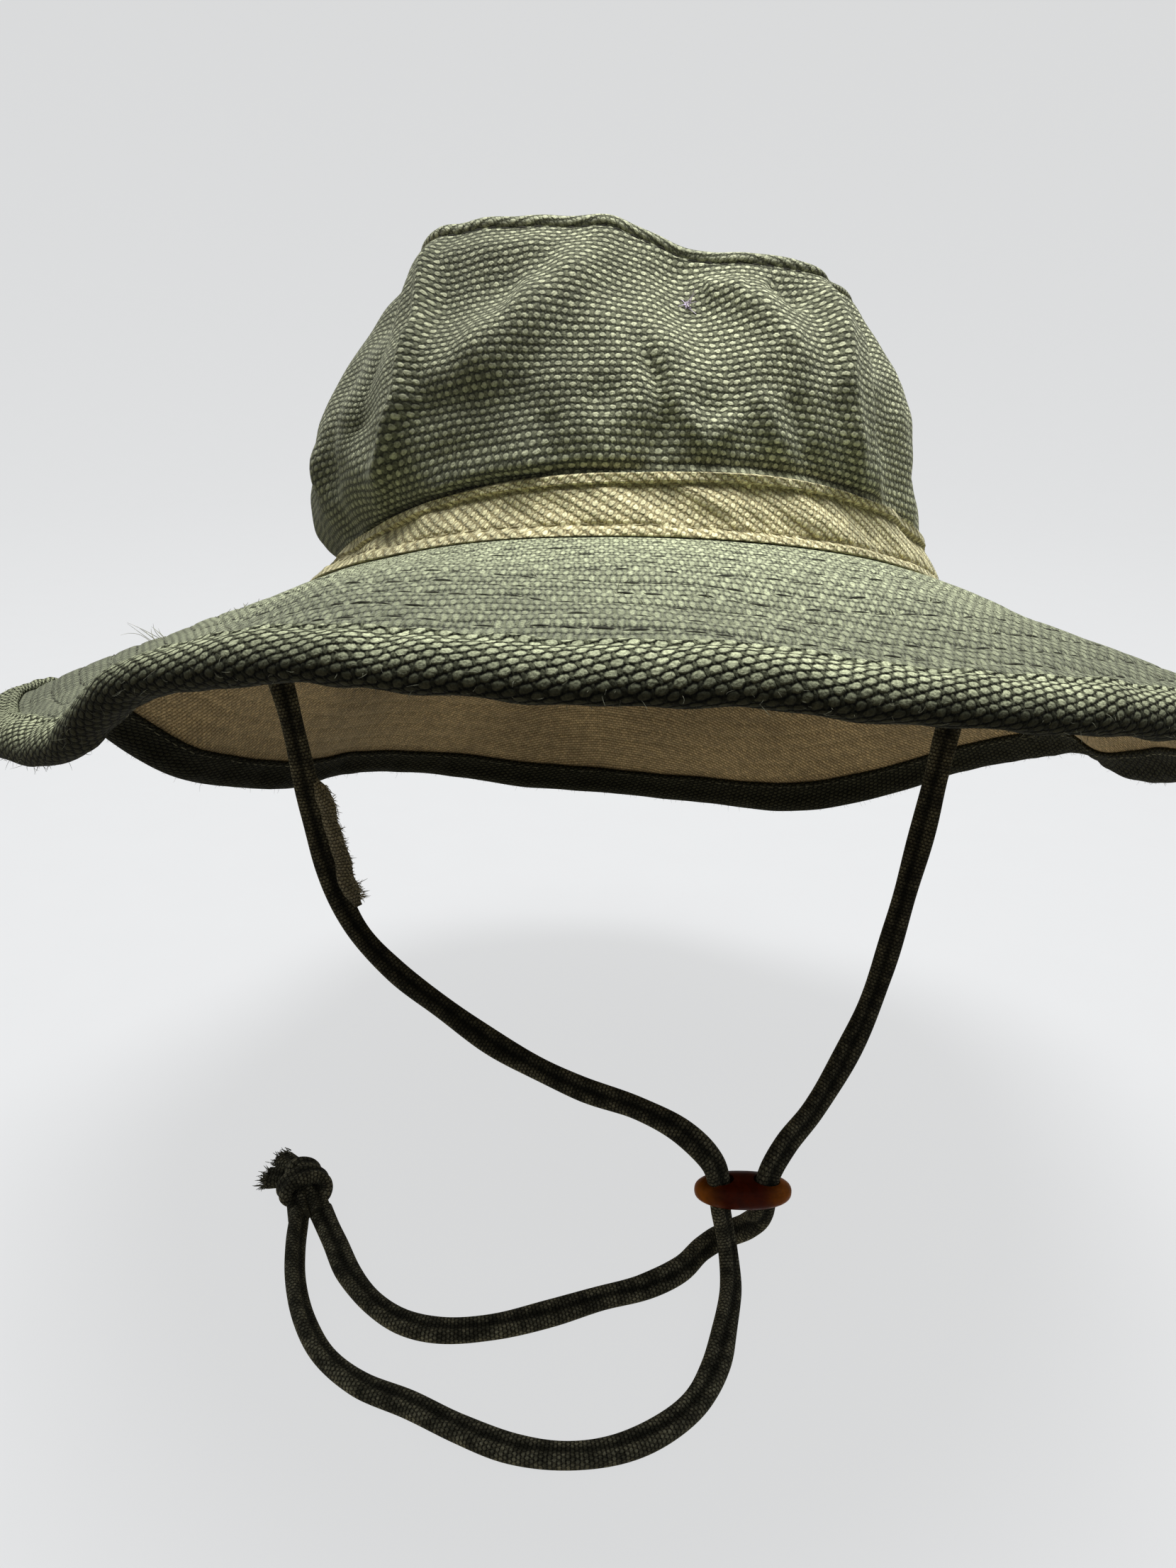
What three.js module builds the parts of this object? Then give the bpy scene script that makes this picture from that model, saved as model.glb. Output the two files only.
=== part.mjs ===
// Sun hat: soft canvas crown and wide drooping brim, tan band, bound edge, chin cord with slider.
// Millimetres, +Z up, front towards -Y, origin at the middle of the head opening.
// A turn is an angle round the head: 0 at the front, 90 at the +X side, -90 at the -X side.
import * as THREE from 'three';

// Driving sizes of the whole hat
const TIP_BACK = 17.5; // degrees that the worn hat leans back
const OPENING_SIDE = 78; // half width of the head opening, outside the band
const OPENING_FRONT = 101; // half length of the head opening, outside the band
const SIDE_DIP = 2; // the opening dips this far at both sides
const BRIM_WIDTH = 88; // along the cloth, from the band to the bound edge
const FLOOR = -178; // surface that the cord's tails lie on
const GAP = 0.3; // clearance between neighbouring layers

// Cloth thicknesses
const WALL = 1.3;
const BAND = 1.2;
const BRIM_TOP_CLOTH = 1.2;
const BRIM_UNDER_CLOTH = 1.0;
const BINDING = 1.0;

// Turns at which every ring of the hat has a section: close at the front, wider at the back
const FRONT_REACH = 100;
const FRONT_STEP = 5;
const BACK_STEP = 10;

// Crown outline: half sizes at each height, before folds. The front is an oval where square is 2,
// and comes nearer to a box as square grows.
const CROWN = [
  { height: 0, left: 76.5, right: 76.5, front: 99.5, back: 99.5, square: 2 },
  { height: 5, left: 76.8, right: 76.6, front: 99.8, back: 99.8, square: 2 },
  { height: 10, left: 78, right: 76.6, front: 100.3, back: 100.5, square: 2 },
  { height: 12.5, left: 81, right: 76.5, front: 101, back: 101.2, square: 2 },
  { height: 16, left: 85, right: 75.8, front: 101.8, back: 102.2, square: 2.05 },
  { height: 21, left: 86.5, right: 74.6, front: 102.4, back: 103.5, square: 2.15 },
  { height: 27, left: 86, right: 73, front: 102, back: 104, square: 2.3 },
  { height: 35, left: 82.5, right: 71.5, front: 100, back: 103.5, square: 2.5 },
  { height: 44, left: 77, right: 70, front: 97, back: 102, square: 2.7 },
  { height: 54, left: 70.5, right: 66, front: 92, back: 98.5, square: 2.9 },
  { height: 63, left: 64, right: 60, front: 87, back: 93, square: 3.1 },
  { height: 70, left: 57.5, right: 54.5, front: 83.5, back: 88, square: 3.3 },
];
const BAND_ROWS = 4; // the band covers the crown's first rows

// Height of the crown's rim above the opening: it sinks right of the front
const RIM = [
  { turn: -110, height: 67 },
  { turn: -60, height: 68 },
  { turn: -38, height: 68.5 },
  { turn: -8, height: 66 },
  { turn: 2, height: 62.5 },
  { turn: 12, height: 58 },
  { turn: 28, height: 58 },
  { turn: 45, height: 59.5 },
  { turn: 70, height: 62 },
  { turn: 110, height: 65 },
  { turn: 180, height: 67 },
];

// Crown folds: a line from the foot to the rim, its stretch in shares of the height,
// its half width and how far the cloth stands out (or sinks in)
const FOLDS = [
  { name: 'left corner ridge', foot: -48, rim: -44, low: 0.15, high: 1.0, width: 8, out: 2.5 },
  { name: 'left valley', foot: -57, rim: -52, low: 0.2, high: 0.95, width: 8, out: -4.5 },
  { name: 'far left crease', foot: -74, rim: -66, low: 0.15, high: 0.6, width: 9, out: -3 },
  { name: 'right ridge', foot: 42, rim: 38, low: 0.15, high: 1.0, width: 8, out: 2 },
  { name: 'right valley', foot: 50, rim: 46, low: 0.2, high: 0.95, width: 8, out: -3 },
  { name: 'slanting front ridge', foot: -40, rim: -6, low: 0.45, high: 1.0, width: 9, out: 1.8 },
  { name: 'front dent', foot: 14, rim: 8, low: 0.55, high: 1.0, width: 12, out: -4 },
  { name: 'front bulge', foot: 22, rim: 20, low: 0.5, high: 0.95, width: 9, out: 2 },
  { name: 'pucker over the band', foot: 2, rim: 4, low: 0.17, high: 0.4, width: 8, out: -2.5 },
  { name: 'right side slump', foot: 96, rim: 88, low: 0.2, high: 0.9, width: 14, out: -2.5 },
  { name: 'back left fold', foot: -132, rim: -140, low: 0.2, high: 0.95, width: 15, out: -3 },
  { name: 'back right fold', foot: 138, rim: 146, low: 0.2, high: 0.95, width: 15, out: -3 },
];
const FOLD_FADE = 0.15; // share of the height over which a fold dies away
const FOLD_RADIUS = 90; // radius on which a fold's distance is measured

// Crown top: a flat round of cloth whose seam stands as a roll round the rim
const TOP_ROLL = 2.8; // thickness of the seam roll
const TOP_CLOTH = 1.3;
const TOP_PROUD = 0.5; // the roll stands past the wall
const TOP_GAP = 0.5; // clearance over the wall's slanting top edge
const TOP_DOME = 4; // rise of the middle above the mean rim
const TOP_MEAN = 63.5; // mean rim height, which the middle follows
const TOP_SHARES = [0.93, 0.8, 0.55, 0.28]; // rings of the top, in shares of the rim

// Brim droop in degrees below level, where it leaves the band and at its bound edge
const BRIM = [
  { turn: -165, root: 42, edge: 51 },
  { turn: -145, root: 37, edge: 43 },
  { turn: -125, root: 38, edge: 49 },
  { turn: -105, root: 33, edge: 42 },
  { turn: -90, root: 21, edge: 23 },
  { turn: -75, root: 19, edge: 24 },
  { turn: -60, root: 21, edge: 31 },
  { turn: -45, root: 20, edge: 35 },
  { turn: -33, root: 19, edge: 35 },
  { turn: -18, root: 14, edge: 23 },
  { turn: 0, root: 15, edge: 25 },
  { turn: 12, root: 16, edge: 26 },
  { turn: 24, root: 17, edge: 29 },
  { turn: 40, root: 18, edge: 30 },
  { turn: 60, root: 22, edge: 34 },
  { turn: 78, root: 25, edge: 36 },
  { turn: 92, root: 27, edge: 38 },
  { turn: 108, root: 25, edge: 30 },
  { turn: 125, root: 33, edge: 40 },
  { turn: 145, root: 46, edge: 58 },
  { turn: 165, root: 47, edge: 58 },
];
const BRIM_MARGIN = 5; // level seam allowance inside the band
const WALL_SEAT = 1.5; // the margin bends under the wall's foot this far inside the band
const BOUND_EDGE = 2.55; // the brim's two cloths stop this far inside the bound edge
const BINDING_TOP = 12; // width of the binding seen from above
const BINDING_UNDER = 14; // width of the binding seen from below
const BRIM_ROWS = [-BRIM_MARGIN, -WALL_SEAT, 0, 15, 30, 45, 60, BRIM_WIDTH - BINDING_UNDER];
// The wall's foot stands this high over the brim's middle surface
const FOOT_LIFT = GAP / 2 + BRIM_TOP_CLOTH + GAP;

// Chin cord: a braid that runs from under the brim, through the slider, to the knot on the floor
const CORD = { diameter: 5.4, sides: 8, leftSteps: 44, rightSteps: 34 };
const LEFT_ROUTE = [
  [-100.6, -11.4, -10.0], [-99.2, -11.8, -14.5], [-96, -13, -26], [-92.6, -14.5, -44], [-89.8, -15.7, -62],
  [-86, -17.4, -79], [-78, -20.8, -97], [-66.5, -25.6, -108], [-52, -31.7, -116.5], [-33.5, -39.6, -125.5],
  [-11, -49.2, -131.5], [6, -56.4, -133], [18, -61.8, -136.5], [26.2, -65.4, -143.5], [28.6, -66.2, -151],
  [29.4, -66.6, -159], [31.2, -69.5, -167.5], [31.8, -78, -174], [28.7, -92.2, -175.3], [25, -104.4, -175.3],
  [19, -115, -175.3], [10, -122.8, -175.3], [-0.5, -127.8, -175.3], [-12.5, -129.6, -175.3],
  [-25, -128, -175.3], [-38, -123, -175.3], [-51, -116.6, -175.3], [-64, -111.2, -175.3],
  [-74.5, -103.2, -175.3], [-82, -92.4, -175.3], [-87.6, -79.4, -175.3], [-90.8, -66.4, -175.3],
  [-92.6, -53.9, -174.4],
];
const RIGHT_ROUTE = [
  [97.2, -11.9, -11.6], [95.4, -13, -16.2], [91, -17.8, -30], [88.4, -20.2, -45], [86, -22.5, -60],
  [82.6, -26, -75.5], [79.6, -28.8, -89], [76, -32.2, -103], [71.4, -36.8, -115], [64.4, -43.6, -126.2],
  [55.4, -52.4, -136], [47, -60.6, -141.2], [42.2, -65.6, -147], [41.5, -66.3, -153], [41, -65.8, -160.5],
  [38, -61.8, -168.6], [32, -59.6, -173.8], [25.4, -64.4, -175.3], [18.6, -72.4, -175.3], [8, -79, -175.3],
  [-4.5, -83.2, -175.3], [-18, -88.4, -175.3], [-32, -92.8, -175.3], [-45.5, -94.2, -175.3],
  [-56, -91.8, -175.3], [-65.4, -85.4, -175.3], [-73.8, -75.4, -175.3], [-80.2, -63.8, -175.3],
  [-87, -51.7, -174.4],
];

// Slider: an oval bead with two holes that the cords pass down through
const SLIDER = { length: 27, depth: 10.5, thick: 5, holeSpread: 12.8, holeRadius: 3.6, arcSteps: 5 };
const SLIDER_AT = { x: 35.1, y: -66.2, z: -152.3 };

// Overhand knot that ties both cords together, lying on the floor
const KNOT = { radius: 5.4, tube: 2.2, steps: 28, sides: 6, turn: -65 };
const KNOT_AT = { x: -94, y: -43.9, z: FLOOR + 4.95 };

// Colours
const OLIVE = '#6d7058';
const OLIVE_DARK = '#5d604a';
const TAN = '#b9a57c';
const TAN_SHADE = '#a48d66';
const CORD_OLIVE = '#45463a';
const BROWN = '#5a3020';

const radians = THREE.MathUtils.degToRad;
const UP = new THREE.Vector3(0, 0, 1);

function cloth(color, roughness = 0.95) {
  return new THREE.MeshStandardMaterial({ color, roughness, metalness: 0 });
}

function listTurns() {
  const turns = [];
  for (let turn = -FRONT_REACH; turn < FRONT_REACH; turn += FRONT_STEP) turns.push(turn);
  for (let turn = FRONT_REACH; turn < 360 - FRONT_REACH; turn += BACK_STEP) turns.push(turn);
  return turns;
}
const TURNS = listTurns();

// Cubic between two rows with the slopes that their neighbours give
function hermite(before, from, to, after, at, key, column) {
  const span = to[key] - from[key];
  const t = (at - from[key]) / span;
  const slopeFrom = (to[column] - before[column]) / (to[key] - before[key]);
  const slopeTo = (after[column] - from[column]) / (after[key] - from[key]);
  const rise = t * t * (3 - 2 * t);
  const leave = t * (1 - t) * (1 - t) * span * slopeFrom;
  const arrive = t * t * (t - 1) * span * slopeTo;
  return from[column] + (to[column] - from[column]) * rise + leave + arrive;
}

// Value of a table's column at any turn, smooth all the way round
function around(table, column, turn) {
  const count = table.length;
  const row = (i) => {
    const lap = Math.floor(i / count);
    const source = table[i - lap * count];
    return { turn: source.turn + 360 * lap, [column]: source[column] };
  };
  const start = table[0].turn;
  const at = start + THREE.MathUtils.euclideanModulo(turn - start, 360);
  let i = 0;
  while (row(i + 1).turn <= at) i += 1;
  return hermite(row(i - 1), row(i), row(i + 1), row(i + 2), at, 'turn', column);
}

// Value of the crown table's column at any height
function crownSize(column, height) {
  const last = CROWN.length - 1;
  let i = 0;
  while (i < last - 1 && CROWN[i + 1].height <= height) i += 1;
  const before = CROWN[Math.max(i - 1, 0)];
  const after = CROWN[Math.min(i + 2, last)];
  return hermite(before, CROWN[i], CROWN[i + 1], after, height, 'height', column);
}

function openingDip(turn) {
  return -SIDE_DIP * Math.sin(radians(turn)) ** 2;
}

// Level direction straight out from the head opening
function outward(turn) {
  const x = OPENING_FRONT * Math.sin(radians(turn));
  const y = -OPENING_SIDE * Math.cos(radians(turn));
  return new THREE.Vector3(x, y, 0).normalize();
}

function openingPoint(turn) {
  const x = OPENING_SIDE * Math.sin(radians(turn));
  const y = -OPENING_FRONT * Math.cos(radians(turn));
  return new THREE.Vector3(x, y, openingDip(turn));
}

// How far all the folds push the crown's cloth out at a turn and a share of its height
function foldPush(turn, share) {
  let push = 0;
  for (const fold of FOLDS) {
    const line = THREE.MathUtils.lerp(fold.foot, fold.rim, share);
    const away = THREE.MathUtils.euclideanModulo(turn - line + 180, 360) - 180;
    const distance = radians(away) * FOLD_RADIUS;
    const rise = THREE.MathUtils.smoothstep(share, fold.low - FOLD_FADE, fold.low + FOLD_FADE);
    const fall = 1 - THREE.MathUtils.smoothstep(share, fold.high - FOLD_FADE, fold.high + FOLD_FADE);
    push += fold.out * rise * fall * Math.exp(-((distance / fold.width) ** 2));
  }
  return push;
}

// Factor that pushes a point of the unit circle out towards the square round it
function boxSpread(sine, cosine, square) {
  return (Math.abs(sine) ** square + Math.abs(cosine) ** square) ** (-1 / square);
}

// Outside of the crown wall at a turn and a height of the crown table
function crownPoint(turn, height) {
  const sine = Math.sin(radians(turn));
  const cosine = Math.cos(radians(turn));
  const share = height / CROWN[CROWN.length - 1].height;
  const spread = cosine > 0 ? boxSpread(sine, cosine, crownSize('square', height)) : 1;
  const x = crownSize(sine < 0 ? 'left' : 'right', height) * sine * spread;
  const y = -crownSize(cosine > 0 ? 'front' : 'back', height) * cosine * spread;
  const foot = openingDip(turn) + FOOT_LIFT;
  const z = THREE.MathUtils.lerp(foot, around(RIM, 'height', turn), share);
  return new THREE.Vector3(x, y, z).addScaledVector(outward(turn), foldPush(turn, share));
}

// Brim's middle surface at a distance out from the band; the margin inside the band is level
function brimPoint(turn, out) {
  const root = around(BRIM, 'root', turn);
  const edge = around(BRIM, 'edge', turn);
  const droop = out > 0 ? radians(root + (edge - root) * (out / BRIM_WIDTH) / 2) : 0;
  const point = openingPoint(turn).addScaledVector(outward(turn), out * Math.cos(droop));
  return point.addScaledVector(UP, -out * Math.sin(droop));
}

// Outward normal of a surface given by a turn and a second measure
function surfaceNormal(surface, turn, measure, low, high) {
  const step = 0.5;
  const round = surface(turn + step, measure).sub(surface(turn - step, measure));
  const from = Math.max(measure - step, low);
  const to = Math.min(measure + step, high);
  const along = surface(turn, to).sub(surface(turn, from));
  return round.cross(along).normalize();
}

// Point lifted off the crown wall's outside, or sunk into it
function crownLayer(turn, height, lift) {
  const normal = surfaceNormal(crownPoint, turn, height, 0, CROWN[CROWN.length - 1].height);
  return crownPoint(turn, height).addScaledVector(normal, lift);
}

// Point lifted off the brim's middle surface, or sunk below it
function brimLayer(turn, out, lift) {
  const normal = surfaceNormal(brimPoint, turn, out, -BRIM_MARGIN, BRIM_WIDTH).negate();
  return brimPoint(turn, out).addScaledVector(normal, lift);
}

function geometryOf(points, triangles) {
  const geometry = new THREE.BufferGeometry().setFromPoints(points);
  geometry.setIndex(triangles);
  geometry.computeVertexNormals();
  return geometry;
}

// Closed ring: a section loop of [along, lift] pairs, laid on a layer at every turn.
// Each quad is split from its inner to its outer end, so cloths that face each other stay parallel.
function ringSolid(layer, section) {
  const points = TURNS.flatMap((turn) => section.map(([along, lift]) => layer(turn, along, lift)));
  const size = section.length;
  const triangles = [];
  for (let i = 0; i < TURNS.length; i += 1) {
    const here = i * size;
    const next = ((i + 1) % TURNS.length) * size;
    for (let j = 0; j < size; j += 1) {
      const k = (j + 1) % size;
      if (section[j][0] <= section[k][0]) {
        triangles.push(here + j, next + j, next + k, here + j, next + k, here + k);
      } else {
        triangles.push(here + j, next + j, here + k, next + j, next + k, here + k);
      }
    }
  }
  return geometryOf(points, triangles);
}

// Section of a plain sheet: out along one face and back along the other
function sheetSection(rows, face, backFace) {
  const there = rows.map((along) => [along, face]);
  const back = rows.map((along) => [along, backFace]);
  return [...there, ...back.reverse()];
}

// Closed cap: open sections from a low pole out to the rim and back to a high pole
function capSolid(sectionAt, lowPole, highPole) {
  const sections = TURNS.map(sectionAt);
  const size = sections[0].length;
  const points = [...sections.flat(), lowPole, highPole];
  const low = points.length - 2;
  const high = points.length - 1;
  const triangles = [];
  for (let i = 0; i < sections.length; i += 1) {
    const here = i * size;
    const next = ((i + 1) % sections.length) * size;
    triangles.push(low, next, here);
    for (let j = 0; j < size - 1; j += 1) {
      triangles.push(here + j, next + j, next + j + 1, here + j, next + j + 1, here + j + 1);
    }
    triangles.push(here + size - 1, next + size - 1, high);
  }
  return geometryOf(points, triangles);
}

function crownWall() {
  const rows = CROWN.map((row) => row.height);
  return ringSolid(crownLayer, sheetSection(rows, 0, -WALL));
}

function hatBand() {
  const rows = CROWN.slice(0, BAND_ROWS).map((row) => row.height);
  return ringSolid(crownLayer, sheetSection(rows, GAP + BAND, GAP));
}

// Point of the crown top's cloth at a share of the way out to the rim
function topPoint(rim, share) {
  const middle = new THREE.Vector3(0, 0, TOP_MEAN + TOP_DOME);
  const point = middle.clone().lerp(rim, share);
  point.z = THREE.MathUtils.lerp(rim.z, middle.z, 1 - share ** 4);
  return point;
}

function crownTop() {
  const rimHeight = CROWN[CROWN.length - 1].height;
  const section = (turn) => {
    const wallOut = crownLayer(turn, rimHeight, 0).addScaledVector(UP, TOP_GAP);
    const wallIn = crownLayer(turn, rimHeight, -WALL).addScaledVector(UP, TOP_GAP);
    const lip = wallOut.clone().addScaledVector(outward(turn), TOP_PROUD);
    const crest = wallOut.clone().addScaledVector(UP, TOP_ROLL);
    const shoulder = lip.clone().addScaledVector(UP, TOP_ROLL / 2);
    const under = TOP_SHARES.map((share) => topPoint(wallOut, share));
    const over = under.map((point) => point.clone().addScaledVector(UP, TOP_CLOTH));
    return [...under.reverse(), wallIn, lip, shoulder, crest, ...over];
  };
  const lowPole = new THREE.Vector3(0, 0, TOP_MEAN + TOP_DOME);
  const highPole = lowPole.clone().addScaledVector(UP, TOP_CLOTH);
  return capSolid(section, lowPole, highPole);
}

// One cloth of the brim, between two lifts off its middle surface
function brimCloth(low, high) {
  const rows = [...BRIM_ROWS, BRIM_WIDTH - BOUND_EDGE];
  return ringSolid(brimLayer, sheetSection(rows, low, high));
}

// Folded strip that wraps the brim's edge, open towards the crown
function brimBinding() {
  const insideHigh = GAP / 2 + BRIM_TOP_CLOTH + GAP;
  const insideLow = -(GAP / 2 + BRIM_UNDER_CLOTH + GAP);
  const high = insideHigh + BINDING;
  const low = insideLow - BINDING;
  const topEnd = BRIM_WIDTH - BINDING_TOP;
  const underEnd = BRIM_WIDTH - BINDING_UNDER;
  const slot = BRIM_WIDTH - BOUND_EDGE + GAP;
  const shoulder = BRIM_WIDTH - BOUND_EDGE;
  const corner = BRIM_WIDTH - BOUND_EDGE / 4;
  const section = [
    [underEnd, low], [shoulder, low], [corner, low * 0.6], [BRIM_WIDTH, 0],
    [corner, high * 0.6], [shoulder, high], [topEnd, high],
    [topEnd, insideHigh], [slot, insideHigh], [slot, insideLow], [underEnd, insideLow],
  ];
  return ringSolid(brimLayer, section);
}

function cordAlong(route, steps) {
  const section = new THREE.Shape();
  for (let i = 0; i < CORD.sides; i += 1) {
    const angle = (i / CORD.sides) * Math.PI * 2;
    const x = Math.cos(angle) * CORD.diameter / 2;
    const y = Math.sin(angle) * CORD.diameter / 2;
    if (i === 0) section.moveTo(x, y);
    else section.lineTo(x, y);
  }
  section.closePath();
  const extrudePath = new THREE.CatmullRomCurve3(route.map((point) => new THREE.Vector3(...point)));
  return new THREE.ExtrudeGeometry(section, { steps, extrudePath, bevelEnabled: false });
}

function sliderBead() {
  const end = (SLIDER.length - SLIDER.depth) / 2;
  const outline = new THREE.Shape();
  outline.absarc(end, 0, SLIDER.depth / 2, -Math.PI / 2, Math.PI / 2);
  outline.absarc(-end, 0, SLIDER.depth / 2, Math.PI / 2, Math.PI * 1.5);
  outline.closePath();
  for (const side of [-1, 1]) {
    const hole = new THREE.Path();
    hole.absarc(side * SLIDER.holeSpread / 2, 0, SLIDER.holeRadius, 0, Math.PI * 2, true);
    outline.holes.push(hole);
  }
  const geometry = new THREE.ExtrudeGeometry(outline, {
    depth: SLIDER.thick, curveSegments: SLIDER.arcSteps, bevelEnabled: false,
  });
  return geometry.translate(0, 0, -SLIDER.thick / 2);
}

function tiedKnot() {
  const lump = new THREE.TorusKnotGeometry(KNOT.radius, KNOT.tube, KNOT.steps, KNOT.sides);
  return lump.rotateZ(radians(KNOT.turn));
}

function named(name, geometry, material) {
  const mesh = new THREE.Mesh(geometry, material);
  mesh.name = name;
  return mesh;
}

// The sewn hat leans back as one group
function wornHat() {
  const hat = new THREE.Group();
  hat.rotation.x = radians(-TIP_BACK);
  const half = GAP / 2;
  hat.add(named('crown_wall', crownWall(), cloth(OLIVE)));
  hat.add(named('crown_top', crownTop(), cloth(OLIVE)));
  hat.add(named('hat_band', hatBand(), cloth(TAN)));
  hat.add(named('brim_upper', brimCloth(half, half + BRIM_TOP_CLOTH), cloth(OLIVE)));
  hat.add(named('brim_under', brimCloth(-half - BRIM_UNDER_CLOTH, -half), cloth(TAN_SHADE)));
  hat.add(named('brim_binding', brimBinding(), cloth(OLIVE_DARK)));
  return hat;
}

function chinCord() {
  const cord = new THREE.Group();
  cord.add(named('chin_cord_left', cordAlong(LEFT_ROUTE, CORD.leftSteps), cloth(CORD_OLIVE, 0.9)));
  cord.add(named('chin_cord_right', cordAlong(RIGHT_ROUTE, CORD.rightSteps), cloth(CORD_OLIVE, 0.9)));
  const slider = named('cord_slider', sliderBead(), cloth(BROWN, 0.35));
  slider.position.set(SLIDER_AT.x, SLIDER_AT.y, SLIDER_AT.z);
  const knot = named('cord_knot', tiedKnot(), cloth(CORD_OLIVE, 0.9));
  knot.position.set(KNOT_AT.x, KNOT_AT.y, KNOT_AT.z);
  cord.add(slider, knot);
  return cord;
}

const sunHat = new THREE.Group();
sunHat.add(wornHat(), chinCord());

export default sunHat;
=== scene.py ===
# Sun hat in Blender: soft canvas crown, quilted brim, tan band, bound edge, chin cord, slider and knot.
# Shapes are worked out in millimetres from the part's own tables, then set in metres round the part.
import math

import bpy
import numpy as np
from mathutils import Matrix, Vector


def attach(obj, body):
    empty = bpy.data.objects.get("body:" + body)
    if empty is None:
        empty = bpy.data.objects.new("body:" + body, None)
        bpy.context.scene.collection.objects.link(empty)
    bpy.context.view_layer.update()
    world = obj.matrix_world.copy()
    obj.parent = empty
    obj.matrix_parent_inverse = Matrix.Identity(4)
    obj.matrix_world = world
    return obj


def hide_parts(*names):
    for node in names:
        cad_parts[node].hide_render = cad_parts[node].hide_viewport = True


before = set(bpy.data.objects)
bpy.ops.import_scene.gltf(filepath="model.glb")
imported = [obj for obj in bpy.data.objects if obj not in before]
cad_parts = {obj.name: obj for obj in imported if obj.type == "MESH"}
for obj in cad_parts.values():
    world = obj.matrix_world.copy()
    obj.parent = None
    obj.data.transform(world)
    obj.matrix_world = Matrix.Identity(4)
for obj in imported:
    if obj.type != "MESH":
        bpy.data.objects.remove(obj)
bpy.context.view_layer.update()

MM = 0.001
UP = np.array([0, 0, 1.0])
FRONT_REACH = 100.0  # turns up to here, in degrees, have the finer mesh

# Photograph's camera: its place, its tilt up from straight down, its roll, its lens and sensor
CAMERA_AT = (-9.8, -320.0, 65.5)
CAMERA_TILT = 68.95
CAMERA_ROLL = 0.965
CAMERA_LENS = 26.04
CAMERA_SENSOR = 36.0
CAMERA_NEAR = 0.01

# Sizes of the whole hat, as in the part
TIP_BACK = 17.5
OPENING_SIDE = 78.0
OPENING_FRONT = 101.0
SIDE_DIP = 2.0
BRIM_WIDTH = 88.0
FLOOR = -178.0
GAP = 0.3
WALL = 1.3
BAND = 1.2
BRIM_TOP_CLOTH = 1.2
BRIM_UNDER_CLOTH = 1.0
BINDING = 1.0

# Faces of the brim's layers, counted up from its middle surface
BRIM_TOP_FACE = GAP / 2 + BRIM_TOP_CLOTH
BRIM_UNDER_FACE = -GAP / 2 - BRIM_UNDER_CLOTH
BINDING_INSIDE_TOP = BRIM_TOP_FACE + GAP
BINDING_INSIDE_UNDER = BRIM_UNDER_FACE - GAP
BINDING_TOP_FACE = BINDING_INSIDE_TOP + BINDING
BINDING_UNDER_FACE = BINDING_INSIDE_UNDER - BINDING
CROWN_FOOT = BRIM_TOP_FACE + GAP

# Crown outline: height, then half sizes to the left, right, front and back, and how square the front is
CROWN_COLUMNS = ("height", "left", "right", "front", "back", "square")
CROWN = np.array([
    (0, 76.5, 76.5, 99.5, 99.5, 2),
    (5, 76.8, 76.6, 99.8, 99.8, 2),
    (10, 78, 76.6, 100.3, 100.5, 2),
    (12.5, 81, 76.5, 101, 101.2, 2),
    (16, 85, 75.8, 101.8, 102.2, 2.05),
    (21, 86.5, 74.6, 102.4, 103.5, 2.15),
    (27, 86, 73, 102, 104, 2.3),
    (35, 82.5, 71.5, 100, 103.5, 2.5),
    (44, 77, 70, 97, 102, 2.7),
    (54, 70.5, 66, 92, 98.5, 2.9),
    (63, 64, 60, 87, 93, 3.1),
    (70, 57.5, 54.5, 83.5, 88, 3.3),
])
CROWN_TOP = 70.0

# Height of the band's upper edge at each turn: the slumped crown leaves little of it at the left
BAND_EDGE = np.array([
    (-175, 12.5), (-135, 12.5), (-105, 9), (-80, 5.5), (-62, 5.2), (-50, 6.2), (-40, 8.2), (-30, 10.2),
    (-20, 11.6), (-10, 12.4), (0, 12.9), (10, 14.2), (20, 14.9), (32, 14.6), (45, 13), (60, 11.6),
    (90, 12), (130, 12.5),
])

# How far the band's foot spreads over the brim at each turn
BAND_FLARE = np.array([
    (-175, 3.5), (-110, 4.5), (-65, 6.5), (-38, 5.6), (-5, 4.2), (25, 3.4), (55, 4.2), (100, 4.5), (140, 3.5),
])
FLARE_SINK = 0.1
FLARE_POWER = 1.3

# Height of the rim above the opening at each turn
RIM = np.array([
    (-110, 67), (-60, 68), (-38, 68.5), (-8, 66.5), (2, 64.5), (12, 61.5),
    (28, 61), (45, 62), (70, 63.5), (110, 65), (180, 67),
])

# Crown folds: turn at the foot and at the rim, lowest and highest share of the height, half width, push
FOLDS = (
    (-48, -44, 0.15, 1.0, 8, 2.5),
    (-57, -52, 0.2, 0.95, 8, -4.5),
    (-74, -66, 0.15, 0.6, 9, -3),
    (42, 38, 0.15, 1.0, 8, 2),
    (50, 46, 0.2, 0.95, 8, -3),
    (-40, -6, 0.45, 1.0, 9, 1.8),
    (14, 8, 0.55, 1.0, 12, -4),
    (22, 20, 0.5, 0.95, 9, 2),
    (2, 4, 0.17, 0.4, 8, -2.5),
    (96, 88, 0.2, 0.9, 14, -2.5),
    (-132, -140, 0.2, 0.95, 15, -3),
    (138, 146, 0.2, 0.95, 15, -3),
)
FOLD_FADE = 0.15
FOLD_RADIUS = 90.0

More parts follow.
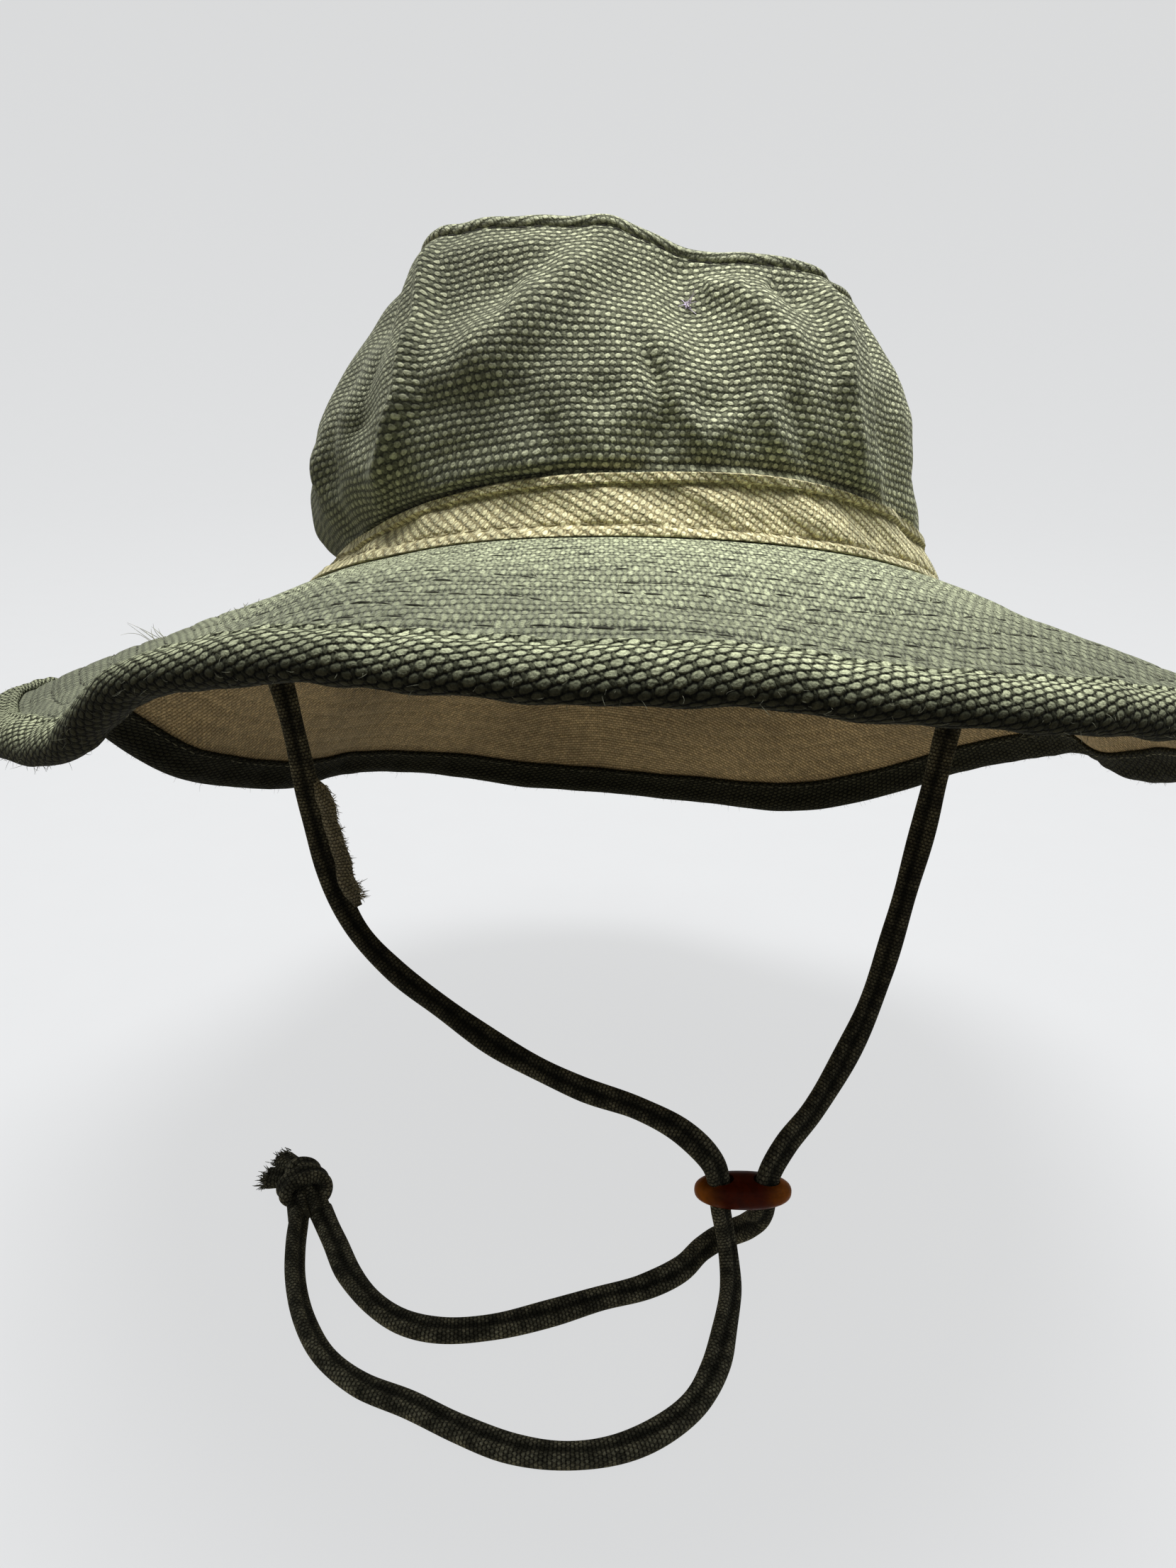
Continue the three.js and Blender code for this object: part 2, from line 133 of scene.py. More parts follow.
# Creases of the crown: half width, push, then the line as turns and shares of the height
CREASES = (
    (2.6, 3.6, ((-40, 1.0), (-38.5, 0.89), (-34.5, 0.68), (-33, 0.42), (-36.5, 0.28), (-43, 0.18))),
    (7.5, -6.0, ((-49, 0.95), (-45, 0.68), (-43.5, 0.42), (-47, 0.28))),
    (7.0, 2.4, ((-38, 0.93), (-27, 0.92), (-16, 0.94))),
    (8.0, -2.0, ((-36, 0.74), (-26, 0.72), (-18, 0.76))),
    (6.0, 2.0, ((-28, 0.52), (-20, 0.62), (-13, 0.74), (-10, 0.9))),
    (5.0, -1.7, ((-33, 0.39), (-24, 0.38), (-13, 0.40))),
    (4.5, 3.4, ((-34, 0.165), (-21, 0.175), (-11, 0.2))),
    (2.8, -1.4, ((-12.5, 0.36), (-11.5, 0.2))),
    (2.4, -2.2, ((-0.5, 0.6), (2, 0.49), (3, 0.35), (1.5, 0.2))),
    (4.5, -1.3, ((-8, 0.4), (-3, 0.4))),
    (4.0, -1.4, ((8, 0.43), (13, 0.42))),
    (4.5, 2.0, ((12, 0.87), (19, 0.86))),
    (4.0, 1.7, ((18, 0.85), (20.5, 0.74), (24.5, 0.64))),
    (5.0, -2.2, ((25, 0.95), (29, 0.82))),
    (3.2, 2.6, ((36, 1.0), (35, 0.9), (33, 0.72), (32.5, 0.56), (34.5, 0.4), (37, 0.24))),
    (7.0, -2.6, ((45, 0.94), (41, 0.6), (45, 0.36))),
    (2.6, 1.3, ((5.5, 0.42), (9.5, 0.27), (14.5, 0.4))),
    (3.0, 1.5, ((17, 0.5), (21.5, 0.28))),
    (3.2, -1.4, ((23, 0.5), (27, 0.24))),
    (3.0, -0.9, ((-66, 0.2), (-60, 0.5))),
    (4.0, 1.4, ((-62, 0.25), (-56, 0.5))),
    (3.4, -0.9, ((62, 0.3), (56, 0.7))),
    (3.4, 1.0, ((80, 0.2), (70, 0.45))),
    (4.0, -1.0, ((-95, 0.25), (-88, 0.6))),
    (5.0, 1.2, ((-120, 0.3), (-112, 0.7))),
    (5.0, -1.2, ((118, 0.25), (112, 0.65))),
    (5.0, 1.2, ((165, 0.3), (172, 0.7))),
    (4.5, -1.2, ((-165, 0.2), (-158, 0.5))),
)
CREASE_END = 0.35  # share of its push that a crease keeps at its two ends
RIM_HOLD = 0.85  # share of all creases that the seam at the rim pulls flat
SLACK_FROM = -1.0  # heights from the band's edge, where the crown's slack begins and is full
SLACK_TO = 2.5
FOOT_GROOVE = 0.8  # the crown tucks in this far just above the band
FOOT_GROOVE_AT = 0.9
FOOT_GROOVE_WIDE = 1.3
LEFT_SAG = 2.5  # the crown's foot hangs this far down over the band
RIGHT_SAG = 1.0
SAG_AT = 5.0
SAG_WIDE = 5.5
LEFT_SAG_START = (20, 58)  # turns over which the sag grows and ends
RIGHT_SAG_START = (25, 70)
SAG_END = (120, 165)

# Band: hems along both edges, stitch rows counted up from its foot or down from its edge, slanting wrinkles
HEM_LIFT = 0.9
HEM_TOP = (2.2, 1.7)
HEM_FOOT = (1.4, 1.9)
HEM_DITCH = 0.5
DITCH_WIDE = 0.5
BAND_ROWS = (2.2, -2.5)
BAND_SLANT = 0.9
BAND_STRETCH = 2.2
BAND_DIP = -0.9

# Soft waves of the cloths: height, wavelength, seed
CROWN_WAVES = ((0.45, 30, 3), (0.2, 12, 4))
BRIM_WAVES = ((0.55, 48, 11), (0.13, 17, 12))
BAND_WAVES = ((0.55, 26, 21), (0.2, 10, 22))
TOP_WAVES = ((0.5, 26, 31),)
TOP_RIPPLES = ((0.12, 11, 32),)
BINDING_WAVES = ((0.14, 9, 41),)

# Brim droop at each turn: degrees below level at the band and at the bound edge
BRIM = np.array([
    (-165, 42, 51), (-145, 37, 43), (-125, 38, 49), (-105, 33, 42), (-90, 21, 23), (-75, 19, 24),
    (-60, 22, 33), (-46, 21, 37), (-36, 20, 37), (-27, 16, 26.5), (-17, 14, 23.5), (0, 15, 27.5),
    (12, 16, 28.5), (24, 16.5, 30), (36, 17.5, 30.5), (48, 20, 35), (60, 23, 36), (78, 25, 36),
    (92, 27, 38), (108, 25, 30), (125, 33, 40), (145, 46, 58), (165, 47, 58),
])
BRIM_MARGIN = 5.0
BOUND_EDGE = 2.55
BINDING_TOP = 9.0
BINDING_UNDER = 14.0
BINDING_LIP = 0.7
LIP_INSET = 1.1
LIP_WIDE = 0.7
BINDING_PUFF = 0.9
BINDING_ROUND = 5.0
BINDING_ROWS = (75.4,)

# Quilting of the brim: its stitch rows, the groove along each, and where mesh rows follow it
STITCH_ROWS = (4.5, 11.0, 18.0, 25.0, 31.5, 38.0, 45.0, 51.5, 58.0, 65.0, 71.5, 77.0)
QUILT_PUFF = 0.07
QUILT_DEPTH = 0.34
QUILT_WIDE = 0.85
UNDER_QUILT = 0.7
ROW_STEPS = (-2.4, -1.4, -0.7, 0, 0.7, 1.4, 2.4)

# Crown top and its seam roll, which is full only between two turns at the front
TOP_CLOTH = 1.3
TOP_GAP = 0.05
TOP_MIDDLE = 67.5
TOP_INSIDE = (0.06, 0.28, 0.55, 0.8, 0.93)
TOP_OUTSIDE = (0.945, 0.93, 0.9, *np.linspace(0.86, 0.06, 21))
SEAM_INSET = 0.45
SEAM_FROM = 1.0  # the seam's groove starts this far below the rim
SEAM_TO = 0.3
SEAM_ROWS = (69.6,)
ROLL_RISE = 0.9
ROLL_INSET = 1.35
ROLL_RADIUS = 1.35
ROLL_SMALL = 0.55
ROLL_LEFT = (-62, -46)
ROLL_RIGHT = (31, 40)

# Chin cord: a flat braid, its routes as in the part
CORD_WIDTH = 6.8
CORD_DEPTH = 4.2
CORD_ROUND = 18.4  # round its outline
LEFT_ROUTE = (
    (-100.6, -11.4, -10.0), (-99.2, -11.8, -14.5), (-96, -13, -26), (-92.6, -14.5, -44), (-89.8, -15.7, -62),
    (-86, -17.4, -79), (-78, -20.8, -97), (-66.5, -25.6, -108), (-52, -31.7, -116.5), (-33.5, -39.6, -125.5),
    (-11, -49.2, -131.5), (6, -56.4, -133), (18, -61.8, -136.5), (26.2, -65.4, -143.5), (28.6, -66.2, -151),
    (29.4, -66.6, -159), (31.2, -69.5, -167.5), (31.8, -78, -174), (28.7, -92.2, -175.3),
    (25, -104.4, -175.3), (19, -115, -175.3), (10, -122.8, -175.3), (-0.5, -127.8, -175.3),
    (-12.5, -129.6, -175.3), (-25, -128, -175.3), (-38, -123, -175.3), (-51, -116.6, -175.3),
    (-64, -111.2, -175.3), (-74.5, -103.2, -175.3), (-82, -92.4, -175.3), (-87.6, -79.4, -175.3),
    (-90.8, -66.4, -175.3), (-92.6, -53.9, -174.4),
)
RIGHT_ROUTE = (
    (97.2, -11.9, -11.6), (95.4, -13, -16.2), (91, -17.8, -30), (88.4, -20.2, -45), (86, -22.5, -60),
    (82.6, -26, -75.5), (79.6, -28.8, -89), (76, -32.2, -103), (71.4, -36.8, -115), (64.4, -43.6, -126.2),
    (55.4, -52.4, -136), (47, -60.6, -141.2), (42.2, -65.6, -147), (41.5, -66.3, -153), (41, -65.8, -160.5),
    (38, -61.8, -168.6), (32, -59.6, -173.8), (25.4, -64.4, -175.3), (18.6, -72.4, -175.3), (8, -79, -175.3),
    (-4.5, -83.2, -175.3), (-18, -88.4, -175.3), (-32, -92.8, -175.3), (-45.5, -94.2, -175.3),
    (-56, -91.8, -175.3), (-65.4, -85.4, -175.3), (-73.8, -75.4, -175.3), (-80.2, -63.8, -175.3),
    (-87, -51.7, -174.4),
)
# How far each cord is turned about its own line, in degrees, at shares of its length
LEFT_TWIST = (
    (0, 15), (0.1, -10), (0.3, 20), (0.41, 0), (0.47, 10), (0.52, 50), (0.6, 30), (0.7, 5), (0.85, -15),
    (0.93, -45), (1, -60),
)
RIGHT_TWIST = (
    (0, 10), (0.15, -20), (0.3, 15), (0.42, 30), (0.5, 20), (0.6, 55), (0.75, 20), (0.9, -10), (1, 10),
)
FLOOR_CLEAR = 0.1
BRAID_SWELLS = ((0.05, 5.3), (0.04, 11.7))  # slow swelling of a braid: share of its size, run in mm
BRAID_SWELL = 1.12  # a swollen stretch is at most this much thicker
BRAID_TURN = 7
BRAID_TURN_RUN = 23
CORD_DROP = 0.6
SPLICE_FROM = 44.0
SPLICE_TO = 86.0
SPLICE_WIDTH = 5.0
SPLICE_DEPTH = 3.4
SPLICE_TAPER = 5.0
SPLICE_OFF = 2.0  # it lies this far beside the cord, bows away from it and kicks out at its lower end
SPLICE_BOW = 2.6
SPLICE_KICK = 1.4

# Slider and knot
SLIDER_LENGTH = 27.0
SLIDER_DEPTH = 11.0
SLIDER_THICK = 8.2
SLIDER_EASE = 0.74
SLIDER_OVAL = 0.9
SLIDER_HOLE_SPREAD = 12.8
SLIDER_HOLE_WIDE = 3.7
SLIDER_HOLE_DEEP = 2.5
SLIDER_AT = (35.1, -66.2, -152.3)
KNOT_MIDDLE = np.array((-93.8, -45.0, -171.7))
KNOT_ALONG = np.array([-0.5, 0.866, 0.0])  # from the tails to the cut ends
KNOT_ACROSS = np.array([0.866, 0.5, 0.0])
KNOT_OVERLAP = 1.5
KNOT_TURNS = 1.65
KNOT_FROM = -95
KNOT_PITCH = 5.0
KNOT_WIDE = 6.4
KNOT_TALL = 4.0
KNOT_TAPER = 0.2
KNOT_TUCK = 0.2  # share of the wrap's size that is left where its ends are tucked in
KNOT_TUCK_RUN = 4.5
KNOT_SKEW = 1.2
KNOT_SIDES = 26
KNOT_CORE_WIDTH = CORD_WIDTH * 0.98
KNOT_APART = 2.2  # each strand runs this far beside the knot's middle
KNOT_LEAVE = 5.0
KNOT_LEAVE_APART = 2.0
KNOT_FRAY_WIDE = 3.0
KNOT_FRAY_TALL = 1.6
KNOT_ENDS = {-1: (-11.5, 4.5, -1.0), 1: (-8.5, 11.5, 0.6)}

# Stitches: seed, then length, gap and radius in mm, how high they arch, how far they stray from their row,
# the share of them that is missing and how uneven their thickness is
STITCHES = {
    "brim_top_stitches": (101, 3.6, 0.6, 0.18, 0.16, 0.5, 0.26, 0.5),
    "brim_under_stitches": (102, 2.6, 1.0, 0.14, 0.1, 0.3, 0.15, 0.3),
    "binding_under_stitches": (104, 2.4, 1.4, 0.2, 0.2, 0.25, 0.06, 0.2),
    "crown_seam_stitches": (105, 2.4, 1.0, 0.26, 0.2, 0.25, 0.06, 0.2),
    "band_stitches": (106, 2.2, 1.3, 0.2, 0.2, 0.25, 0.06, 0.2),
}
STITCH_STEPS = np.array([0, 0.18, 0.5, 0.82, 1])
STITCH_TAPER = np.array([0.45, 0.9, 1.0, 0.9, 0.45])
STITCH_SINK = 0.1

# Loose fibres: how many, seed, length, how far they curl, radius
FIBRES = {
    "cord_end_fray": (110, 63, 2.0, 0.25, 0.2),
    "cord_splice_fray": (420, 72, 1.7, 0.3, 0.14),
    "brim_fray": (10, 81, 3.2, 0.3, 0.09),
    "brim_loops": (300, 83, 1.3, 0.4, 0.11),
    "binding_fuzz": (1600, 85, 0.8, 0.5, 0.04),
    "crown_lint": (26, 91, 1.3, 0.9, 0.12),
}
FIBRE_TAPER = np.array([1, 1, 0.9, 0.75, 0.55, 0.25])
FRAY_TURN = -69.5
FRAY_OUT = 46.0
FRAY_LEAN = np.array([-0.75, -0.1, 0.15])
LINT_TURN = 8.5
LINT_HEIGHT = 56.0

# Cloth looks: colours of the knobs, of the yarn that crosses between them and of the gaps, knob spacing
# along and across the rows in mm, a knob's half size in shares of that, the weave's turn in degrees, how far
# its rows wander and how high its knobs are in mm. Some also have painted light near the band and painted
# shade at the bound edge (factor there and at the edge), painted light and shade along an axis (axis, from,
# to, two factors), painted shade across the strip (from, to, factor), painted shade down the groove of a
# braid, or mottling (two factors).
PLAIN_CLOTH = {"turn": 0.0, "wander": 0.5, "relief": 0.3, "sheen": 0.1, "gloss": 0.2}
CLOTHS = {
    "canvas": {
        "light": (0.50, 0.515, 0.345), "cross": (0.15, 0.157, 0.098), "gap": (0.036, 0.038, 0.022),
        # fade: painted shade towards the left and painted sheen towards the right
        "step": 2.15, "row": 1.55, "fill": (0.36, 0.43), "sheen": 0.22, "fade": (0, -95, 80, 0.62, 1.4),
    },
    "faded": {
        "light": (0.54, 0.558, 0.378), "cross": (0.31, 0.324, 0.212), "gap": (0.10, 0.105, 0.067),
        "step": 2.0, "row": 1.45, "fill": (0.42, 0.47), "sheen": 0.3,
    },
    "brim": {
        "light": (0.40, 0.43, 0.276), "cross": (0.22, 0.237, 0.149), "gap": (0.030, 0.032, 0.020),
        "step": 1.75, "row": 2.6, "fill": (0.40, 0.60), "wander": 0.6, "relief": 0.7, "sheen": 0.3,
        # painted_band_light: painted light near the band and painted shade at the bound edge; fade: painted
        # shade on the left wing
        "painted_band_light": (1.55, 0.66), "fade": (0, -150, -70, 0.62, 1.0),
    },
    "band": {
        "light": (0.90, 0.845, 0.51), "cross": (0.62, 0.55, 0.31), "gap": (0.31, 0.26, 0.13),
        "step": 1.6, "row": 1.45, "fill": (0.39, 0.45), "turn": 30.0, "wander": 0.4, "relief": 0.33,
        # fade: painted light at the left and painted shade at the right
        "sheen": 0.25, "fade": (0, -85, 85, 1.1, 0.94),
    },
    "lining": {
        "light": (0.74, 0.60, 0.357), "cross": (0.56, 0.44, 0.247), "gap": (0.30, 0.23, 0.118),
        "step": 1.9, "row": 1.3, "fill": (0.42, 0.46), "relief": 0.25, "sheen": 0.2,
    },
    "binding": {
        "light": (0.465, 0.495, 0.323), "cross": (0.11, 0.117, 0.073), "gap": (0.006, 0.006, 0.004),
        "step": 2.3, "row": 1.25, "fill": (0.46, 0.56), "turn": -19.0, "wander": 0.35, "relief": 0.45,
        # painted_under_shade: painted shade on the strip's under half; fade: painted shade at the left
        "sheen": 0.04, "gloss": 0.04, "painted_under_shade": (15.5, 23.5, 0.10), "fade": (0, -150, -60, 0.72, 1.0),
    },
    "cord": {
        "light": (0.12, 0.121, 0.089), "cross": (0.05, 0.049, 0.035), "gap": (0.009, 0.008, 0.006),
        "step": 1.2, "row": 1.0, "fill": (0.44, 0.52), "gloss": 0.06,
        # groove: painted shade down the middle of each face; fade: painted light on the low stretches and the
        # knot
        "groove": CORD_ROUND, "mottle": (0.5, 1.9), "fade": (2, -165, -95, 1.6, 1.0),
    },
    "worn_cord": {
        "light": (0.50, 0.48, 0.36), "cross": (0.26, 0.24, 0.155), "gap": (0.08, 0.072, 0.045),
        "step": 1.2, "row": 1.0, "fill": (0.44, 0.52), "turn": 8.0, "wander": 0.9,
    },
}
CROSS_REACH = 0.64  # the crossing yarn and the knobs beside it reach this far together
CROSS_TALL = 0.58
CROSS_HEIGHT = 0.7  # heights as shares of a knob's
FIBRE_HEIGHT = 0.65
WANDER_SIZE = 4.0
SHAKE_SIZE = 0.34
WANDER_SCALE = 0.045  # noise scales: the first three along the cloth in mm, the others in the hat's frame
SHAKE_SCALE = 0.7
FIBRE_SCALE = 2.4
FADING_SCALE = 22.0
MOTTLE_SCALE = 260.0
NOISE_SPAN = (0.3, 0.7)  # most of a noise lies between these
MOTTLE_SPAN = (0.35, 0.68)
KNOB_TONES = (0.78, 1.14)
FIBRE_TONES = (0.62, 1.28)
FADING_TONES = (0.84, 1.14)
# Painted shade down a braid's groove: how far from its middle it reaches, then its darkest and plain factors
GROOVE_SHADE_REACH = (0.2, 1.6)
PAINTED_GROOVE_SHADE = (0.22, 1.1)
CLOTH_ROUGHNESS = (0.82, 0.97)
PAINTED_BAND_LIGHT_TO = 1.85  # the bound edge, in sizes of the opening
SHEEN_TINT = (0.86, 0.9, 0.68)
THREADS = {
    # near black: the seam thread's colour and painted shade of the groove below the rim
    "dark_thread": (0.020, 0.019, 0.013),
    # near black: the quilting thread's colour and painted shade of the quilted grooves
    "quilt_thread": (0.028, 0.028, 0.018),
    "tan_thread": (0.34, 0.30, 0.17),
    "olive_thread": (0.15, 0.155, 0.11),
    "pale_fibre": (0.30, 0.30, 0.22),
    "lint": (0.82, 0.72, 0.90),
    "cord_fibre": CLOTHS["cord"]["light"],
    "worn_fibre": CLOTHS["worn_cord"]["light"],
}
BEAD_BROWN = (0.095, 0.011, 0.001)
BEAD_AMBER = (0.46, 0.14, 0.009)

# Light: a lamp overhead in watts and metres, then how bright the sky is above and at eye level, the share of
# that which is left in front and at the left, and how bright the glow below is at the left and elsewhere
KEY_POWER = 24.0
KEY_AT = (0.04, 0.0, 1.25)
KEY_TO = (0, 0, -0.03)
KEY_SIZE = 0.85
SKY_ABOVE = 0.8
SKY_LEVEL = 0.04
SKY_FRONT = 0.3
SKY_LEFT = 0.55
BELOW_LEFT = 0.7
BELOW = 0.21
BELOW_TINT = (1.0, 0.86, 0.64)
SKY_TINT = (1.0, 1.0, 0.97)

# Studio floor in metres: level out to a radius, then bent up into a wall
FLOOR_RINGS = (0.25, 0.6, 1.0)
FLOOR_LEVEL = 1.4
FLOOR_BEND = 0.9
FLOOR_WALL = 2.6
FLOOR_SIDES = 96
FLOOR_TINTS = ((0.105, 0.107, 0.11), (0.115, 0.117, 0.12))
FLOOR_GLOW = 0.68
FLOOR_GLOW_TINT = (0.98, 0.99, 1.0)


# Smooth curves through the tables

def smooth(value, low, high):
    share = np.clip((value - low) / (high - low), 0, 1)
    return share * share * (3 - 2 * share)


def bell(value, middle, width):
    """Round hump, 1 high at its middle."""
    return np.exp(-(((value - middle) / width) ** 2))


def unit(vectors):
    return vectors / np.maximum(np.linalg.norm(vectors, axis=-1, keepdims=True), 1e-9)


def run_length(points, axis=0):
    """Length run up to each point along one axis of a path or grid."""
    steps = np.linalg.norm(np.diff(points, axis=axis), axis=-1)
    return np.insert(np.cumsum(steps, axis=axis), 0, 0, axis=axis)


def hermite(keys, values, at):
    """Cubic through a table's rows, with the slopes that their neighbours give."""
    last = len(keys) - 1
    i = np.clip(np.searchsorted(keys, at, side="right") - 1, 0, last - 1)
    before = np.maximum(i - 1, 0)
    after = np.minimum(i + 2, last)
    span = keys[i + 1] - keys[i]
    t = (at - keys[i]) / span
    leave = (values[i + 1] - values[before]) / (keys[i + 1] - keys[before])
    arrive = (values[after] - values[i]) / (keys[after] - keys[i])
    rise = t * t * (3 - 2 * t)
    bend = t * (1 - t) * (1 - t) * span * leave + t * t * (t - 1) * span * arrive
    return values[i] + (values[i + 1] - values[i]) * rise + bend


def around(table, column, turn):
    """Value of a table's column at any turn, smooth all the way round."""
    laps = np.concatenate([table[:, 0] - 360, table[:, 0], table[:, 0] + 360])
    values = np.tile(table[:, column], 3)
    start = table[0, 0]
    return hermite(laps, values, start + np.mod(turn - start, 360))


def crown_size(column, height):
    return hermite(CROWN[:, 0], CROWN[:, CROWN_COLUMNS.index(column)], height)


def outward(turn):
    """Level direction straight out from the opening."""
    angle = np.radians(turn)
    x = OPENING_FRONT * np.sin(angle)
    y = -OPENING_SIDE * np.cos(angle)
    return unit(np.stack([x, y, np.zeros_like(x)], axis=-1))


def opening_point(turn):
    """Edge of the opening, which dips at the sides."""
    angle = np.radians(turn)
    dip = -SIDE_DIP * np.sin(angle) ** 2
    return np.stack([OPENING_SIDE * np.sin(angle), -OPENING_FRONT * np.cos(angle), dip], axis=-1)


def fold_push(turn, share):
    push = np.zeros_like(turn + share)
    for foot, rim, low, high, width, out in FOLDS:
        line = foot + (rim - foot) * share
        away = np.mod(turn - line + 180, 360) - 180
        fade = smooth(share, low - FOLD_FADE, low + FOLD_FADE)
        fade = fade * (1 - smooth(share, high - FOLD_FADE, high + FOLD_FADE))
        push = push + out * fade * bell(np.radians(away) * FOLD_RADIUS, 0, width)
    return push


def crown_point(turn, height):
    """Outside of the crown wall at a turn and a height of the crown table."""
    turn, height = np.broadcast_arrays(np.asarray(turn, float), np.asarray(height, float))
    sine = np.sin(np.radians(turn))
    cosine = np.cos(np.radians(turn))
    share = height / CROWN_TOP
    square = crown_size("square", height)
    spread = (np.abs(sine) ** square + np.abs(cosine) ** square) ** (-1 / square)
    spread = np.where(cosine > 0, spread, 1)
    x = np.where(sine < 0, crown_size("left", height), crown_size("right", height)) * sine * spread
    y = -np.where(cosine > 0, crown_size("front", height), crown_size("back", height)) * cosine * spread
    foot = opening_point(turn)[..., 2] + CROWN_FOOT
    z = foot + (around(RIM, 1, turn) - foot) * share
    return np.stack([x, y, z], axis=-1) + outward(turn) * fold_push(turn, share)[..., None]


def brim_point(turn, out):
    """Brim's middle surface at a distance out from the band; the margin inside the band is level."""
    turn, out = np.broadcast_arrays(np.asarray(turn, float), np.asarray(out, float))
    root = around(BRIM, 1, turn)
    edge = around(BRIM, 2, turn)
    droop = np.radians(np.where(out > 0, root + (edge - root) * out / BRIM_WIDTH / 2, 0))
    level = outward(turn) * (out * np.cos(droop))[..., None]
    return opening_point(turn) + level - UP * (out * np.sin(droop))[..., None]


def surface_normal(surface, turn, along, low, high):
    step = 0.5
    across = surface(turn + step, along) - surface(turn - step, along)
    onward = surface(turn, np.minimum(along + step, high)) - surface(turn, np.maximum(along - step, low))
    return unit(np.cross(across, onward))


def crown_normal(turn, height):
    return surface_normal(crown_point, turn, height, 0, CROWN_TOP)


def brim_normal(turn, out):
    return -surface_normal(brim_point, turn, out, -BRIM_MARGIN, BRIM_WIDTH)


def crown_layer(turn, height, lift):
    return crown_point(turn, height) + crown_normal(turn, height) * np.asarray(lift)[..., None]


def brim_layer(turn, out, lift):
    return brim_point(turn, out) + brim_normal(turn, out) * np.asarray(lift)[..., None]


def tipped(points):
    """Points of the level hat, leaned back as it is worn."""
    cosine = math.cos(math.radians(TIP_BACK))
    sine = math.sin(math.radians(TIP_BACK))
    x, y, z = points[..., 0], points[..., 1], points[..., 2]
    return np.stack([x, y * cosine + z * sine, z * cosine - y * sine], axis=-1)


# Slack of the cloth

def ripples(points, wavelength, seed, waves=7):
    """Soft waves in all directions, about 1 high."""
    rng = np.random.default_rng(seed)
    total = np.zeros(points.shape[:-1])
    for _ in range(waves):
        direction = unit(rng.normal(size=3))
        length = wavelength * rng.uniform(0.75, 1.35)
        total += np.sin(points @ direction * (2 * math.pi / length) + rng.uniform(0, 2 * math.pi))
    return total / math.sqrt(waves / 2)


def waved(points, table):
    return sum(height * ripples(points, wavelength, seed) for height, wavelength, seed in table)


def line_distance(x, y, corners):
    """Distance from points to a bent line, and how far along it the nearest place is, from 0 to 1."""
    before = run_length(corners)
    nearest = np.full(np.shape(x), 1e9)
    along = np.zeros(np.shape(x))
    for i, span in enumerate(np.diff(before)):
        way = (corners[i + 1] - corners[i]) / span
        at = (x - corners[i, 0]) * way[0] + (y - corners[i, 1]) * way[1]
        at = np.clip(at, 0, span)
        distance = np.hypot(x - corners[i, 0] - at * way[0], y - corners[i, 1] - at * way[1])
        closer = distance < nearest
        nearest = np.where(closer, distance, nearest)
        along = np.where(closer, (before[i] + at) / before[-1], along)
    return nearest, along


def crease_push(turn, share):
    """Creases follow bent lines on the unrolled crown and fade towards both ends."""
    x = np.radians(turn) * FOLD_RADIUS
    y = share * CROWN_TOP
    push = np.zeros_like(x + y)
    for width, out, line in CREASES:
        corners = np.array([(math.radians(t) * FOLD_RADIUS, s * CROWN_TOP) for t, s in line])
        distance, along = line_distance(x, y, corners)
        first = CREASE_END + (1 - CREASE_END) * smooth(along, 0, 0.2)
        last = CREASE_END + (1 - CREASE_END) * (1 - smooth(along, 0.8, 1))
        push = push + out * first * last * bell(distance, 0, width)
    return push * (1 - RIM_HOLD * smooth(share, 0.88, 1.0))


def crown_slack(turn, height):
    """How far wrinkles lift the crown's cloth."""
    edge = around(BAND_EDGE, 1, turn)
    loose = smooth(height, edge + SLACK_FROM, edge + SLACK_TO)
    waves = waved(crown_point(turn, height), CROWN_WAVES)
    groove = bell(height, edge + FOOT_GROOVE_AT, FOOT_GROOVE_WIDE) * smooth(height, edge - 0.5, edge + 0.5)
    return loose * (waves + crease_push(turn, height / CROWN_TOP)) - FOOT_GROOVE * groove


def overhang(turn, height):
    """Sag of the crown's foot over the band, as a share: most at the left, a little at the right."""
    edge = around(BAND_EDGE, 1, turn)
    near = bell(height, edge + SAG_AT, SAG_WIDE) * smooth(height, edge, edge + 3)
    left = smooth(-turn, *LEFT_SAG_START) * (1 - smooth(-turn, *SAG_END))
    right = smooth(turn, *RIGHT_SAG_START) * (1 - smooth(turn, *SAG_END))
    return near * left, near * right


def brim_slack(turn, out):
    """How far the brim's layers wave together."""
    return smooth(out, 4, 40) * waved(brim_point(turn, out), BRIM_WAVES)


def quilting(out):
    """Grooves along the brim's stitch rows, with the cloth a little puffed between them."""
    return QUILT_PUFF - QUILT_DEPTH * sum(bell(out, row, QUILT_WIDE) for row in STITCH_ROWS)


# Meshes from grids of points

def new_object(name, points, faces, corner_measures=None):
    """Smooth object from points in mm and blocks of faces, with cloth measures in mm at its corners."""
    mesh = bpy.data.meshes.new(name)
    sizes = np.concatenate([np.full(len(block), block.shape[1]) for block in faces])
    corners = np.concatenate([block.ravel() for block in faces])
    starts = np.concatenate([[0], np.cumsum(sizes)[:-1]])
    mesh.vertices.add(len(points))
    mesh.vertices.foreach_set("co", (np.asarray(points, float) * MM).ravel())
    mesh.loops.add(len(corners))
    mesh.polygons.add(len(sizes))
    mesh.polygons.foreach_set("loop_start", starts.astype(np.int32))
    mesh.polygons.foreach_set("vertices", corners.astype(np.int32))
    mesh.update(calc_edges=True)
    if corner_measures is not None:
        layer = mesh.uv_layers.new(name="cloth")
        layer.uv.foreach_set("vector", np.asarray(corner_measures, np.float32).ravel())
    mesh.validate()
    mesh.shade_smooth()
    piece = bpy.data.objects.new(name, mesh)
    bpy.context.scene.collection.objects.link(piece)
    return piece


